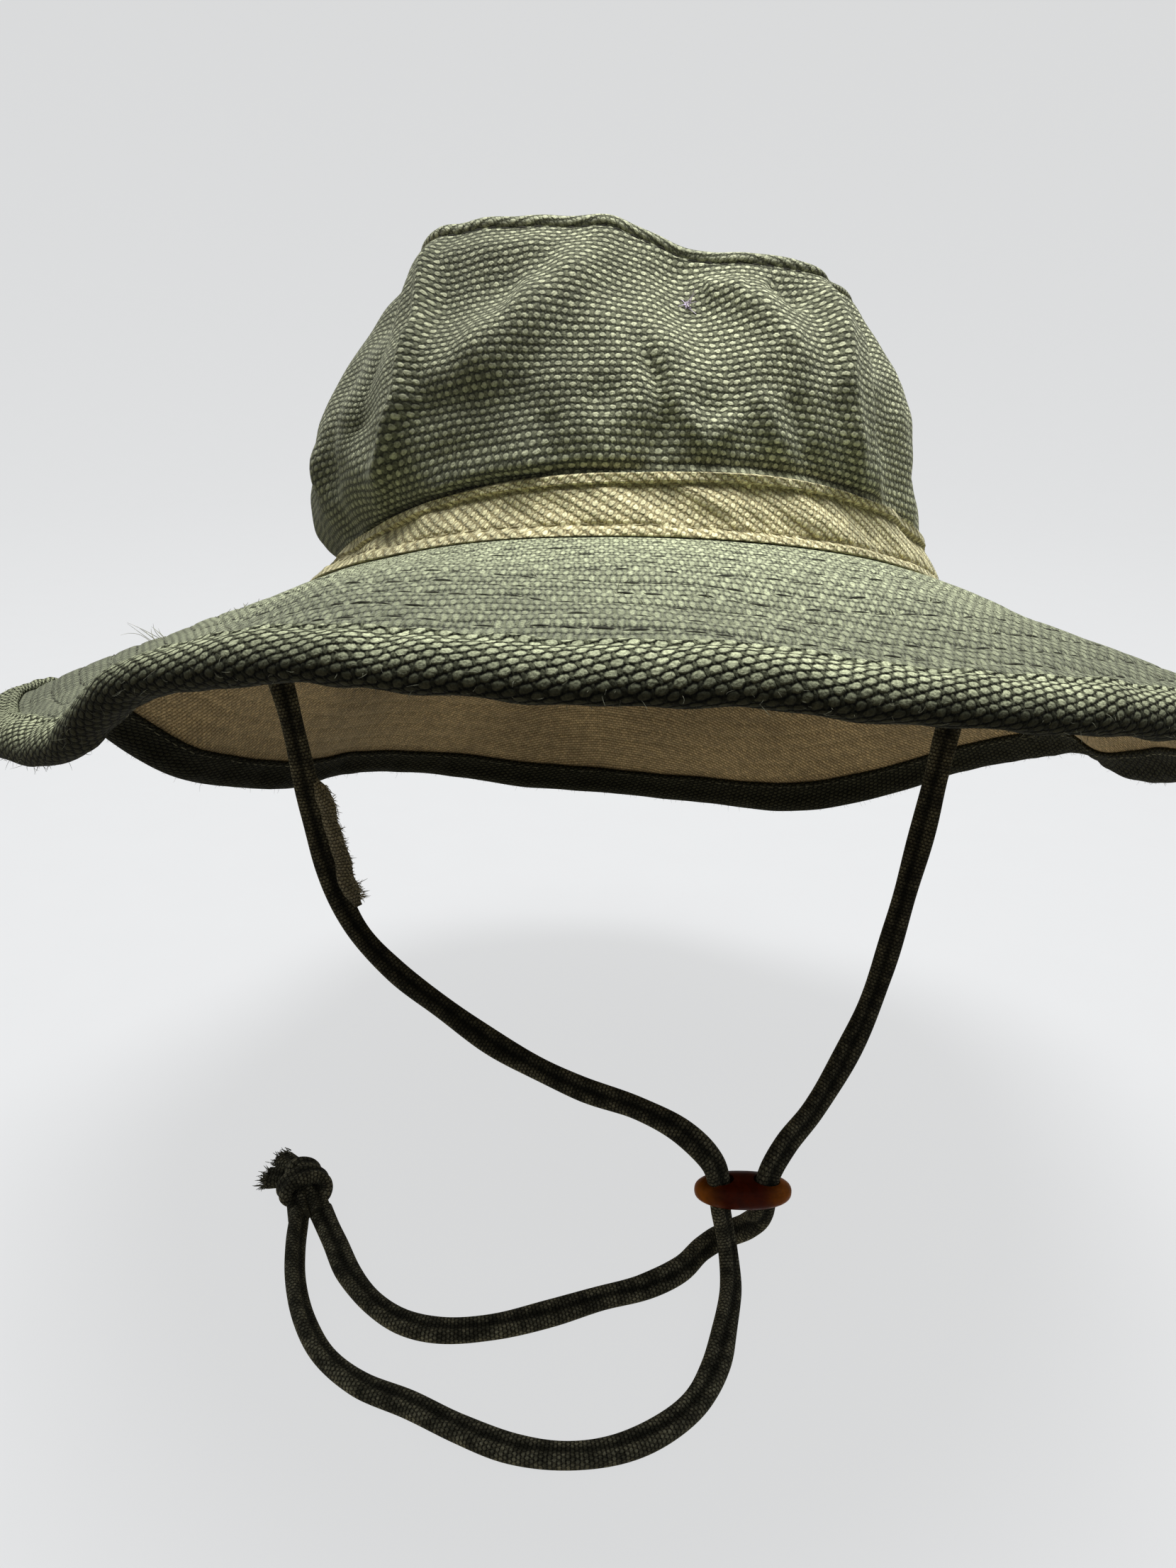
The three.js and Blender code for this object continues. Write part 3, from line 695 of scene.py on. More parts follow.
def grid_faces(rows, columns, close_rows, close_columns):
    """Quads of a grid of points, closed in either direction."""
    i = np.arange(rows if close_rows else rows - 1)[:, None]
    j = np.arange(columns if close_columns else columns - 1)[None, :]
    this = i * columns
    after = (i + 1) % rows * columns
    j_next = (j + 1) % columns
    return np.stack([this + j, after + j, after + j_next, this + j_next], -1).reshape(-1, 4)


def fan(ring, pole):
    """Triangles from a closed ring of points to one more point."""
    return np.stack([ring, np.roll(ring, -1), np.full_like(ring, pole)], axis=1)


def grid_corners(measures):
    """Corner measures of a grid's quads, from measures on one more row and column than it has quads."""
    blocks = [measures[:-1, :-1], measures[1:, :-1], measures[1:, 1:], measures[:-1, 1:]]
    return np.stack(blocks, axis=2).reshape(-1, 2)


def closed(grid):
    """Grid of points with its first row and column repeated at the end."""
    grid = np.concatenate([grid, grid[:1]], axis=0)
    return np.concatenate([grid, grid[:, :1]], axis=1)


def arc_measures(grid, turns):
    """Lengths along the rows, from the front, and across them, on a closed grid of points."""
    grid = closed(grid)
    along = run_length(grid, 0)
    front = int(np.argmin(np.abs(turns)))
    return np.stack([along - along[front], run_length(grid, 1)], axis=-1)


def turns_at(front_step, back_step):
    """Turns from the back all the way round, close together at the front."""
    left = np.arange(-180, -FRONT_REACH, back_step)
    front = np.arange(-FRONT_REACH, FRONT_REACH, front_step)
    right = np.arange(FRONT_REACH, 180, back_step)
    return np.concatenate([left, front, right])


def laid_out(turns, values):
    """Grids of the turns and of a row of values that repeats at each turn."""
    turn = np.broadcast_to(turns[:, None], (len(turns), len(values)))
    return turn, np.broadcast_to(values, turn.shape)


def ring_object(name, grid, measures):
    faces = grid_faces(grid.shape[0], grid.shape[1], True, True)
    return new_object(name, tipped(grid).reshape(-1, 3), [faces], grid_corners(measures))


# Sewn pieces of the hat

def crown_skin(turn, height, lift):
    left, right = overhang(turn, height)
    out = (0.5 * LEFT_SAG * left + 0.7 * RIGHT_SAG * right)[..., None]
    down = (LEFT_SAG * left + RIGHT_SAG * right)[..., None]
    points = crown_layer(turn, height, lift + crown_slack(turn, height))
    return points + outward(turn) * out - UP * down


def seam_lift(height):
    """How far the seam below the rim draws the wall in."""
    return -SEAM_INSET * smooth(height, CROWN_TOP - SEAM_FROM, CROWN_TOP - SEAM_TO)


def crown_wall():
    turns = turns_at(0.5, 1.0)
    foot = np.concatenate([[0, 1.5, 3], np.arange(4, 22, 0.5)])
    rim = np.linspace(CROWN_TOP - 2, CROWN_TOP, 7)
    outside = np.concatenate([foot, np.arange(22, CROWN_TOP - 2, 1.0), rim])
    inside = np.concatenate([np.linspace(CROWN_TOP, 24, 20), np.linspace(23, 12, 12), np.linspace(10, 0, 4)])
    depth = np.concatenate([np.zeros(len(outside)), np.full(len(inside), -WALL)])
    turn, height = laid_out(turns, np.concatenate([outside, inside]))
    grid = crown_skin(turn, height, depth + seam_lift(height))
    return ring_object("crown_wall_cloth", grid, arc_measures(crown_point(turn, height), turns))


def band_lips(share, edge):
    """Folded hems along the band's two edges, at a share of its height."""
    height = share * edge
    top = smooth(height, edge - HEM_TOP[0], edge - HEM_TOP[1])
    foot = 1 - smooth(height, *HEM_FOOT)
    ditch = bell(height, edge + BAND_ROWS[1], DITCH_WIDE) + bell(height, BAND_ROWS[0], DITCH_WIDE)
    return HEM_LIFT * np.maximum(top, foot) - HEM_DITCH * ditch


def flared(turn, share):
    """Move that spreads the band's foot out until it lies on the brim."""
    foot = crown_layer(turn, np.zeros_like(turn), np.full_like(turn, GAP))
    reach = around(BAND_FLARE, 1, turn)
    landing = brim_layer(turn, reach, np.full_like(turn, BRIM_TOP_FACE - FLARE_SINK))
    return (landing - foot) * (np.clip(1 - share, 0, 1) ** FLARE_POWER)[..., None]


def band_skin(turn, share):
    """Outside of the band, with slanting wrinkles in its slack middle."""
    edge = around(BAND_EDGE, 1, turn)
    height = share * edge
    slant = crown_point(turn, height)
    slant[..., 2] *= BAND_STRETCH
    slant[..., 2] += BAND_SLANT * np.radians(turn) * FOLD_RADIUS
    wave = np.maximum(waved(slant, BAND_WAVES), BAND_DIP)
    slack = np.sin(np.clip(share, 0, 1) * math.pi) ** 0.7
    return height, GAP + BAND + band_lips(share, edge) + wave * slack


def hat_band():
    turns = turns_at(0.5, 1.0)
    rows = np.concatenate([np.linspace(0, 0.3, 14), np.linspace(0.33, 0.7, 10), np.linspace(0.72, 1, 16)])
    turn, share = laid_out(turns, np.concatenate([rows, [1, 1], np.linspace(1, 0, 5)[1:]]))
    height, lift = band_skin(turn, share)
    lift[:, len(rows)] = GAP + BAND * 0.6
    lift[:, len(rows) + 1:] = GAP
    grid = crown_layer(turn, height, lift) + flared(turn, share)
    return ring_object("hat_band_cloth", grid, arc_measures(crown_point(turn, height), turns))


def top_ring(rim, share, lift):
    """Ring of the crown's top cloth at a share of the way out to the rim."""
    middle = UP * TOP_MIDDLE
    point = middle + (rim - middle) * share
    point[:, 2] = rim[:, 2] + (TOP_MIDDLE - rim[:, 2]) * (1 - share ** 4) + lift
    bumps = waved(point, TOP_WAVES) * smooth(share, 1.0, 0.8) + waved(point, TOP_RIPPLES)
    return point + UP * bumps[:, None]


def roll_rings(turn, rim):
    """Rings of the seam roll that stands round the rim."""
    out = outward(turn)
    front = smooth(turn, *ROLL_LEFT) * (1 - smooth(turn, *ROLL_RIGHT))
    full = (ROLL_SMALL + (1 - ROLL_SMALL) * front)[:, None]
    centre = rim + (UP * ROLL_RISE - out * ROLL_INSET) * full
    angles = np.radians(np.linspace(-125, 160, 18))
    return [centre + ROLL_RADIUS * (out * math.cos(a) + UP * math.sin(a)) * full for a in angles]


def crown_top():
    turns = turns_at(0.6, 1.2)
    rim = crown_skin(turns, np.full_like(turns, CROWN_TOP), np.zeros_like(turns)) + UP * TOP_GAP
    inside = [top_ring(rim, share, 0.0) for share in TOP_INSIDE]
    roll = roll_rings(turns, rim)
    outside = [top_ring(rim, share, TOP_CLOTH) for share in TOP_OUTSIDE]
    grid = np.stack(inside + roll + outside, axis=1)
    # The cloth's measures are its flat x and y, run on straight out where it turns down over the roll
    measures = grid[..., :2].copy()
    crest = len(inside) + len(roll) - 1
    rolled = slice(len(inside), crest + 1)
    lengths = run_length(grid, 1)
    run = lengths[:, crest: crest + 1] - lengths[:, rolled]
    measures[:, rolled] = grid[:, crest: crest + 1, :2] + outward(turns)[:, None, :2] * run[..., None]
    points = np.concatenate([grid.reshape(-1, 3), [UP * TOP_MIDDLE, UP * (TOP_MIDDLE + TOP_CLOTH)]])
    measures = np.concatenate([measures.reshape(-1, 2), np.zeros((2, 2))])
    count = grid.shape[1]
    first = np.arange(len(turns)) * count
    low = fan(first, len(points) - 2)[:, ::-1]
    high = fan(first + count - 1, len(points) - 1)
    faces = [grid_faces(len(turns), count, True, False), low, high]
    corners = np.concatenate([measures[block.ravel()] for block in faces])
    return new_object("crown_top_cloth", tipped(points), faces, corners)


def brim_rows():
    rows = [-BRIM_MARGIN, -3.0, -1.5, -0.5, 0.3, 1.2]
    rows += [row + step for row in STITCH_ROWS for step in ROW_STEPS]
    return np.array([*rows, 82.0, BRIM_WIDTH - BOUND_EDGE])


def flat_measures(turn, out):
    """Where a point of the brim lies on the flat cut cloth."""
    return closed(opening_point(turn)[..., :2] + outward(turn)[..., :2] * out[..., None])


def brim_skin(turn, out, lift):
    return brim_layer(turn, out, lift + brim_slack(turn, out))


def brim_cloth(name, low, high, top):
    """One cloth of the brim between two lifts, quilted on the face that shows."""
    turns = turns_at(0.5, 1.0) if top else turns_at(0.8, 1.2)
    rows = brim_rows()
    hidden = np.linspace(-BRIM_MARGIN, BRIM_WIDTH - BOUND_EDGE, 12)
    below = hidden if top else rows
    above = (rows if top else hidden)[::-1]
    out = np.concatenate([below, above])
    lift = np.concatenate([np.full(len(below), low), np.full(len(above), high)])
    shown = np.concatenate([np.full(len(below), not top), np.full(len(above), top)])
    bound = BRIM_WIDTH - (BINDING_TOP if top else BINDING_UNDER)
    relief = quilting(out) * smooth(out, 0.5, 2.0) * (1 - smooth(out, bound - 0.5, bound + 0.5))
    lift = lift + shown * relief * (1 if top else -UNDER_QUILT)
    turn, out = laid_out(turns, out)
    return ring_object(name, brim_skin(turn, out, lift), flat_measures(turn, out))


def binding_rise(out):
    """How far the rolled edge stands above its flat inner edge."""
    return BINDING_PUFF * smooth(out, BRIM_WIDTH - BINDING_TOP, BRIM_WIDTH - BINDING_ROUND)


def binding_lip(out):
    """How far the doubled inner edge stands up on the brim's top."""
    return BINDING_LIP * bell(out, BRIM_WIDTH - BINDING_TOP + LIP_INSET, LIP_WIDE)


def binding_section():
    """Loop of the folded strip: under face, round the plump edge, top face, then its hidden inside."""
    high = BINDING_TOP_FACE
    low = BINDING_UNDER_FACE
    top_end = BRIM_WIDTH - BINDING_TOP
    under_end = BRIM_WIDTH - BINDING_UNDER
    shoulder = BRIM_WIDTH - BINDING_ROUND
    slot = BRIM_WIDTH - BOUND_EDGE + GAP
    loop = [(under_end, BINDING_INSIDE_UNDER), (under_end, low + 0.35), (under_end + 0.35, low)]
    loop += [(along, low - binding_rise(along)) for along in np.linspace(under_end + 1.2, shoulder, 9)]
    for angle in np.radians(np.linspace(-80, 80, 15)):
        tall = BINDING_PUFF + (high if angle > 0 else -low)
        loop.append((shoulder + BINDING_ROUND * math.cos(angle), tall * math.sin(angle)))
    top = np.linspace(shoulder, top_end + 0.6, 12)
    loop += [(along, high + binding_rise(along) + binding_lip(along)) for along in top]
    loop += [(top_end + 0.15, high + 0.2), (top_end, high - 0.2), (top_end, BINDING_INSIDE_TOP)]
    loop += [(slot, BINDING_INSIDE_TOP), (slot, BINDING_INSIDE_UNDER)]
    return np.array(loop)


def brim_binding():
    turns = turns_at(0.35, 0.8)
    section = binding_section()
    turn, out = laid_out(turns, section[:, 0])
    lift = np.broadcast_to(section[:, 1], turn.shape)
    puff = waved(brim_point(turn, out), BINDING_WAVES) * smooth(np.abs(lift), 1.7, 2.2)
    grid = brim_skin(turn, np.minimum(out, BRIM_WIDTH), lift + np.sign(lift) * puff)
    measures = arc_measures(brim_layer(turn, out, lift), turns)
    edge = int(np.argmax(section[:, 0]))
    measures[..., 0] = measures[:, edge: edge + 1, 0]
    return ring_object("brim_binding_cloth", grid, measures)


# Threads and fibres

def many_tubes(name, paths, radii, facing, sides):
    """Short tubes along paths (tube, step, xyz); radii per step, or per tube and step; a facing per tube."""
    count, steps, _ = paths.shape
    ahead = unit(np.gradient(paths, axis=1))
    side = unit(np.cross(ahead, facing[:, None, :]))
    over = np.cross(side, ahead)
    angle = np.arange(sides) * (2 * math.pi / sides)
    ring = side[:, :, None] * np.cos(angle)[:, None] + over[:, :, None] * np.sin(angle)[:, None]
    points = paths[:, :, None] + ring * np.atleast_2d(radii)[:, :, None, None]
    one = grid_faces(steps, sides, False, True)[:, ::-1]
    start = (np.arange(count) * steps * sides)[:, None, None]
    quads = (one[None] + start).reshape(-1, 4)
    first = np.arange(sides)[None, :] + start[:, 0]
    last = first[:, ::-1] + (steps - 1) * sides
    return new_object(name, points.reshape(-1, 3), [quads, first, last])


def dashes(name, place, rows):
    """Stitches along rows of a cloth; place(turn, along) gives points on it and the way out of it."""
    seed, length, gap, radius, arch, wobble, skip, uneven = STITCHES[name]
    rng = np.random.default_rng(seed)
    turns = np.arange(-180, 180.01, 0.5)
    paths = []
    facing = []
    for row in rows:
        line, _ = place(turns, np.full_like(turns, row))
        lengths = run_length(line)
        starts = np.arange(0, lengths[-1] - length, length + gap)
        starts = starts + rng.uniform(-0.3, 0.3, len(starts))
        starts = starts[rng.uniform(size=len(starts)) > skip]
        spans = length * rng.uniform(0.75, 1.15, len(starts))
        turn = np.interp(starts[:, None] + spans[:, None] * STITCH_STEPS, lengths, turns)
        drift = rng.uniform(-wobble, wobble, (len(starts), 2))
        along = row + drift[:, :1] * (1 - STITCH_STEPS) + drift[:, 1:] * STITCH_STEPS
        points, out = place(turn, along)
        rise = arch * np.sin(STITCH_STEPS * math.pi) - STITCH_SINK
        paths.append(points + out * rise[:, None])
        facing.append(out[:, 2])
    paths = np.concatenate(paths)
    thick = radius * rng.uniform(1 - uneven, 1 + uneven, (len(paths), 1))
    return many_tubes(name, paths, thick * STITCH_TAPER, np.concatenate(facing), 6)


def brim_place(turn, out, lift, side):
    """Points on a face of the brim's layers and the way out of it; side is 1 on top and -1 below."""
    return tipped(brim_skin(turn, out, lift)), tipped(side * brim_normal(turn, out))


def brim_top_place(turn, out):
    return brim_place(turn, out, BRIM_TOP_FACE + quilting(out), 1)


def brim_under_place(turn, out):
    return brim_place(turn, out, BRIM_UNDER_FACE - UNDER_QUILT * quilting(out), -1)


def binding_under_place(turn, out):
    return brim_place(turn, out, BINDING_UNDER_FACE - binding_rise(out), -1)


def crown_place(turn, height):
    return tipped(crown_skin(turn, height, seam_lift(height))), tipped(crown_normal(turn, height))


def band_place(turn, along):
    """Rows counted up from the band's foot, or down from its upper edge where they are below zero."""
    edge = around(BAND_EDGE, 1, turn)
    share = np.where(along < 0, edge + along, along) / edge
    height, lift = band_skin(turn, share)
    points = crown_layer(turn, height, lift) + flared(turn, share)
    return tipped(points), tipped(crown_normal(turn, height))


def fibre_draws(name):
    """How many fibres a tuft has, and the random numbers that place them."""
    count, seed = FIBRES[name][:2]
    return count, np.random.default_rng(seed)


def fibres(name, roots, aims):
    """Loose curled fibres: each starts at a root and strays from its aim."""
    _, seed, length, spread, radius = FIBRES[name]
    rng = np.random.default_rng(seed + 1)
    count = len(roots)
    steps = np.linspace(0, 1, len(FIBRE_TAPER))
    lengths = length * rng.uniform(0.45, 1.15, count)
    bend = rng.normal(0, spread, (count, 1, 3))
    curl = rng.normal(0, spread, (count, 1, 3))
    way = aims[:, None] + bend * steps[:, None] + curl * (steps ** 2)[:, None]
    paths = roots[:, None] + way * (lengths[:, None] * steps)[..., None]
    return many_tubes(name, paths, radius * FIBRE_TAPER, rng.normal(size=(count, 3)), 4)


# Cords

def curve_through(route, step):
    """Even points along a smooth curve through a route, as the part runs it."""
    route = np.array(route, float)
    first = 2 * route[0] - route[1]
    last = 2 * route[-1] - route[-2]
    knots = np.concatenate([[first], route, [last]])
    span = np.maximum(np.linalg.norm(np.diff(knots, axis=0), axis=1) ** 0.5, 1e-6)
    t = np.linspace(0, 1, 24, endpoint=False)[:, None]
    dense = []
    for i in range(1, len(knots) - 2):
        a, b, c, d = knots[i - 1: i + 3]
        leave = (b - a) / span[i - 1] - (c - a) / (span[i - 1] + span[i]) + (c - b) / span[i]
        arrive = (c - b) / span[i] - (d - b) / (span[i] + span[i + 1]) + (d - c) / span[i + 1]
        leave = leave * span[i]
        arrive = arrive * span[i]
        cubic = (2 * b - 2 * c + leave + arrive) * t ** 3
        dense.append(cubic + (-3 * b + 3 * c - 2 * leave - arrive) * t ** 2 + leave * t + b)
    dense = np.concatenate([*dense, route[-1:]])
    length = run_length(dense)
    at = np.linspace(0, length[-1], int(length[-1] / step) + 1)
    return np.stack([np.interp(at, length, dense[:, k]) for k in range(3)], axis=1)


def flat_section(width, depth, sides):
    """Rounded flat braid with a groove along the middle of each face."""
    angle = np.arange(sides) * (2 * math.pi / sides)
    power = 2 / 2.5
    x = width / 2 * np.sign(np.cos(angle)) * np.abs(np.cos(angle)) ** power
    y = depth / 2 * np.sign(np.sin(angle)) * np.abs(np.sin(angle)) ** power
    return np.stack([x, y * (1 - 0.34 * bell(x, 0, 0.75))], axis=1)


def braid_axes(path, facing):
    """Directions across a braid's wide side and out of it, at each point of its path."""
    ahead = unit(np.gradient(path, axis=0))
    wide = unit(np.cross(facing, ahead))
    return wide, np.cross(ahead, wide)


def braid_shape(path, facing, width, depth, seed, sides=30, taper=0.0):
    """Points, faces and measures of a flat braid; facing is where its wide side looks at each point."""
    rng = np.random.default_rng(seed)
    wide, face = braid_axes(path, facing)
    along = run_length(path)
    phase = rng.uniform(0, 6.28, 4)
    swell = 1 + sum(size * np.sin(along / run + at) for (size, run), at in zip(BRAID_SWELLS, phase))
    twist = (np.radians(BRAID_TURN) * np.sin(along / BRAID_TURN_RUN + phase[2]))[:, None]
    turned_wide = wide * np.cos(twist) + face * np.sin(twist)
    turned_face = face * np.cos(twist) - wide * np.sin(twist)
    section = flat_section(width, depth, sides)
    ends = np.ones(len(path))
    if taper:
        ends = np.clip(np.minimum(along, along[-1] - along) / taper, 0.25, 1) ** 0.5
    x = section[:, 0] * (swell * ends)[:, None]
    y = section[:, 1] * ((2 - swell) * ends)[:, None]
    points = path[:, None] + turned_wide[:, None] * x[..., None] + turned_face[:, None] * y[..., None]
    quads = grid_faces(len(path), sides, False, True)
    first = np.arange(sides)[None, ::-1]
    last = np.arange(sides)[None, :] + (len(path) - 1) * sides
    outline = run_length(np.concatenate([section, section[:1]]))
    measures = np.stack(np.broadcast_arrays(outline, along[:, None]), axis=-1)
    corners = np.concatenate([grid_corners(measures), np.zeros((2 * sides, 2))])
    return points.reshape(-1, 3), [quads, first, last], corners


def merged(shapes):
    """Several shapes as one."""
    points = []
    faces = []
    corners = []
    start = 0
    for more, blocks, measures in shapes:
        points.append(more)
        faces += [block + start for block in blocks]
        corners.append(measures)
        start += len(more)
    return np.concatenate(points), faces, np.concatenate(corners)


def cord_facing(path):
    """Wide side towards the front on the hanging strands, and up on the floor."""
    front = unit(np.array(CAMERA_AT) - path)
    lying = smooth(-path[:, 2], 158, 174)[:, None]
    return front * (1 - lying) + UP * lying


def cord_twist(path, table):
    shares, angles = np.array(table, float).T
    return np.radians(np.interp(np.linspace(0, 1, len(path)), shares, angles))


def twisted(path, facing, twist):
    """Facing turned about the path."""
    wide, face = braid_axes(path, facing)
    return face * np.cos(twist)[:, None] + wide * np.sin(twist)[:, None]


def settle(path, twist):
    """Lets the flat braid down onto the floor where the round solid lay on it."""
    lying = smooth(-path[:, 2], 166, 175)
    half = np.hypot(CORD_DEPTH / 2 * np.cos(twist), CORD_WIDTH / 2 * np.sin(twist))
    low = FLOOR + half * BRAID_SWELL + FLOOR_CLEAR
    path = path.copy()
    path[:, 2] = path[:, 2] * (1 - lying) + np.maximum(low, path[:, 2] - CORD_DROP) * lying
    return path


# Materials

class Nodes:
    """A node tree, with short calls for the nodes that the looks share."""

    def __init__(self, tree):
        self.tree = tree

    def feed(self, sockets, inputs):
        """Links or sets inputs, which are given by name or number."""
        for key, value in inputs.items():
            if isinstance(value, bpy.types.NodeSocket):
                self.tree.links.new(value, sockets[key])
            else:
                sockets[key].default_value = value

    def make(self, kind, inputs, **settings):
        """Outputs of a new node."""
        made = self.tree.nodes.new("ShaderNode" + kind)
        for key, value in settings.items():
            setattr(made, key, value)
        self.feed(made.inputs, inputs)
        return made.outputs

    def math(self, operation, *values):
        return self.make("Math", dict(enumerate(values)), operation=operation)[0]

    def vector(self, operation, *values):
        return self.make("VectorMath", dict(enumerate(values)), operation=operation)[0]

    def split(self, vector):
        return self.make("SeparateXYZ", {0: vector})

    def place(self):
        return self.make("TexCoord", {})["Object"]

    def noise(self, vector, scale, detail, output="Fac"):
        return self.make("TexNoise", {"Vector": vector, "Scale": scale, "Detail": detail})[output]

    def ramp(self, value, low, high, to_low=0.0, to_high=1.0):
        inputs = {"Value": value, "From Min": low, "From Max": high, "To Min": to_low, "To Max": to_high}
        return self.make("MapRange", inputs, interpolation_type="SMOOTHSTEP")["Result"]

    def mix(self, share, low, high, kind="MIX"):
        return self.make("Mix", {0: share, 6: low, 7: high}, data_type="RGBA", blend_type=kind)[2]

    def shade(self, colour, value, *steps):
        """Colour times the ramp of a value."""
        return self.mix(1.0, colour, self.ramp(value, *steps), "MULTIPLY")


class Shader(Nodes):
    """One material's node tree."""

    def __init__(self, name):
        self.material = bpy.data.materials.new(name)
        self.material.use_nodes = True
        super().__init__(self.material.node_tree)
        self.surface = self.tree.nodes["Principled BSDF"].inputs

    def bump(self, height, depth):
        made = self.make("Bump", {"Height": height, "Strength": 1.0, "Distance": depth * MM})
        self.feed(self.surface, {"Normal": made[0]})

    def finish(self, colour, roughness, sheen, specular):
        self.feed(self.surface, {"Base Color": colour, "Roughness": roughness})
        self.feed(self.surface, {"Sheen Weight": sheen, "Sheen Tint": rgb(SHEEN_TINT)})
        self.feed(self.surface, {"Specular IOR Level": specular})
        return self.material


def rgb(colour):
    return (*colour, 1.0)


def weave_place(shader, look, measure):
    """Place on the woven cloth in mm: its rows wander and its yarns are never quite straight."""
    half = (0.5, 0.5, 0.5)
    wander = look["wander"] * WANDER_SIZE
    drift = shader.vector("SUBTRACT", shader.noise(measure, WANDER_SCALE, 2.0, "Color"), half)
    drift = shader.vector("MULTIPLY", drift, (wander, wander, 0.0))
    shake = shader.vector("SUBTRACT", shader.noise(measure, SHAKE_SCALE, 1.0, "Color"), half)
    shake = shader.vector("MULTIPLY", shake, (look["step"] * SHAKE_SIZE, look["row"] * SHAKE_SIZE, 0.0))
    moved = shader.vector("ADD", shader.vector("ADD", measure, drift), shake)
    inputs = {"Vector": moved, "Angle": math.radians(look["turn"])}
    return shader.split(shader.make("VectorRotate", inputs, rotation_type="Z_AXIS")[0])[:2]


def bulge(shader, side, rise):
    """Soft height of a round knob, from distances of 1 at its edge."""
    away = shader.math("MULTIPLY_ADD", side, side, shader.math("MULTIPLY", rise, rise))
    return shader.ramp(away, 0.12, 1.0, 1.0, 0.0)


def weave_cells(shader, look, x, y):
    """Heights of the knobs in their brick rows and of the yarn between them, and a chance number per knob."""
    wide, tall = look["fill"]
    rows = shader.math("DIVIDE", y, look["row"])
    row = shader.math("FLOOR", rows)
    odd = shader.math("FLOORED_MODULO", row, 2.0)
    across = shader.math("MULTIPLY_ADD", odd, 0.5, shader.math("DIVIDE", x, look["step"]))
    column = shader.math("FLOOR", across)
    side = shader.math("ABSOLUTE", shader.math("SUBTRACT", shader.math("SUBTRACT", across, column), 0.5))
    rise = shader.math("SUBTRACT", shader.math("SUBTRACT", rows, row), 0.5)
    knob = bulge(shader, shader.math("DIVIDE", side, wide), shader.math("DIVIDE", rise, tall))
    between = shader.math("DIVIDE", shader.math("SUBTRACT", 0.5, side), CROSS_REACH - wide)
    cross = bulge(shader, between, shader.math("DIVIDE", rise, CROSS_TALL))
    cell = shader.make("CombineXYZ", {0: column, 1: row})[0]
    chance = shader.make("TexWhiteNoise", {"Vector": cell}, noise_dimensions="2D")["Value"]
    return knob, cross, chance


def aged(shader, look, weave, measure):
    """Weave with painted light and shade near the band, along an axis, across a strip and in a groove, and
    mottling.
    """
    # Painted light near the band and painted shade towards the bound edge, by distance from the opening
    if "painted_band_light" in look:
        place = shader.vector("DIVIDE", measure, (OPENING_SIDE, OPENING_FRONT, 1.0))
        away = shader.make("VectorMath", {0: place}, operation="LENGTH")["Value"]
        weave = shader.shade(weave, away, 1.0, PAINTED_BAND_LIGHT_TO, *look["painted_band_light"])
    # Painted light and shade: the colour is ramped along one axis of the hat's frame
    if "fade" in look:
        axis, start, end, low, high = look["fade"]
        along = shader.split(shader.place())[axis]
        weave = shader.shade(weave, along, start * MM, end * MM, low, high)
    # Painted shade: darker across the under half of the strip
    if "painted_under_shade" in look:
        weave = shader.shade(weave, shader.split(measure)[1], *look["painted_under_shade"])
    # Painted shade down the middle of each face of a braid, where its groove is
    if "groove" in look:
        half = look["groove"] / 2
        across = shader.math("FLOORED_MODULO", shader.split(measure)[0], half)
        across = shader.math("ABSOLUTE", shader.math("SUBTRACT", across, half / 2))
        weave = shader.shade(weave, across, *GROOVE_SHADE_REACH, *PAINTED_GROOVE_SHADE)
    if "mottle" in look:
        patches = shader.noise(shader.place(), MOTTLE_SCALE, 3.0)
        weave = shader.shade(weave, patches, *MOTTLE_SPAN, *look["mottle"])
    return weave


def cloth_material(name):
    """Canvas: worn pale knobs in brick rows, darker yarn between them, fibres and soft fading."""
    look = {**PLAIN_CLOTH, **CLOTHS[name]}
    shader = Shader(name)
    measure = shader.make("UVMap", {}, uv_map="cloth")[0]
    x, y = weave_place(shader, look, measure)
    knob, cross, chance = weave_cells(shader, look, x, y)
    fibre = shader.noise(measure, FIBRE_SCALE, 3.0)
    ground = shader.mix(shader.ramp(cross, 0.0, 0.6), rgb(look["gap"]), rgb(look["cross"]))
    worn = shader.math("MULTIPLY_ADD", fibre, 0.7, knob)
    weave = shader.mix(shader.ramp(worn, 0.3, 1.1), ground, rgb(look["light"]))
    weave = shader.shade(weave, chance, 0.0, 1.0, *KNOB_TONES)
    weave = shader.shade(weave, fibre, *NOISE_SPAN, *FIBRE_TONES)
    weave = shader.shade(weave, shader.noise(shader.place(), FADING_SCALE, 4.0), *NOISE_SPAN, *FADING_TONES)
    weave = aged(shader, look, weave, measure)
    height = shader.math("MAXIMUM", knob, shader.math("MULTIPLY", cross, CROSS_HEIGHT))
    shader.bump(shader.math("MULTIPLY_ADD", fibre, FIBRE_HEIGHT, height), look["relief"])
    roughness = shader.ramp(fibre, *NOISE_SPAN, *CLOTH_ROUGHNESS)
    return shader.finish(weave, roughness, look["sheen"], look["gloss"])


def thread_material(name):
    colour = np.array(THREADS[name])
    shader = Shader(name)
    grain = shader.noise(shader.place(), 900.0, 2.0)
    tint = shader.mix(shader.ramp(grain, *NOISE_SPAN), rgb(0.6 * colour), rgb(1.4 * colour))
    shader.bump(grain, 0.1)
    return shader.finish(tint, 0.85, 0.1, 0.2)


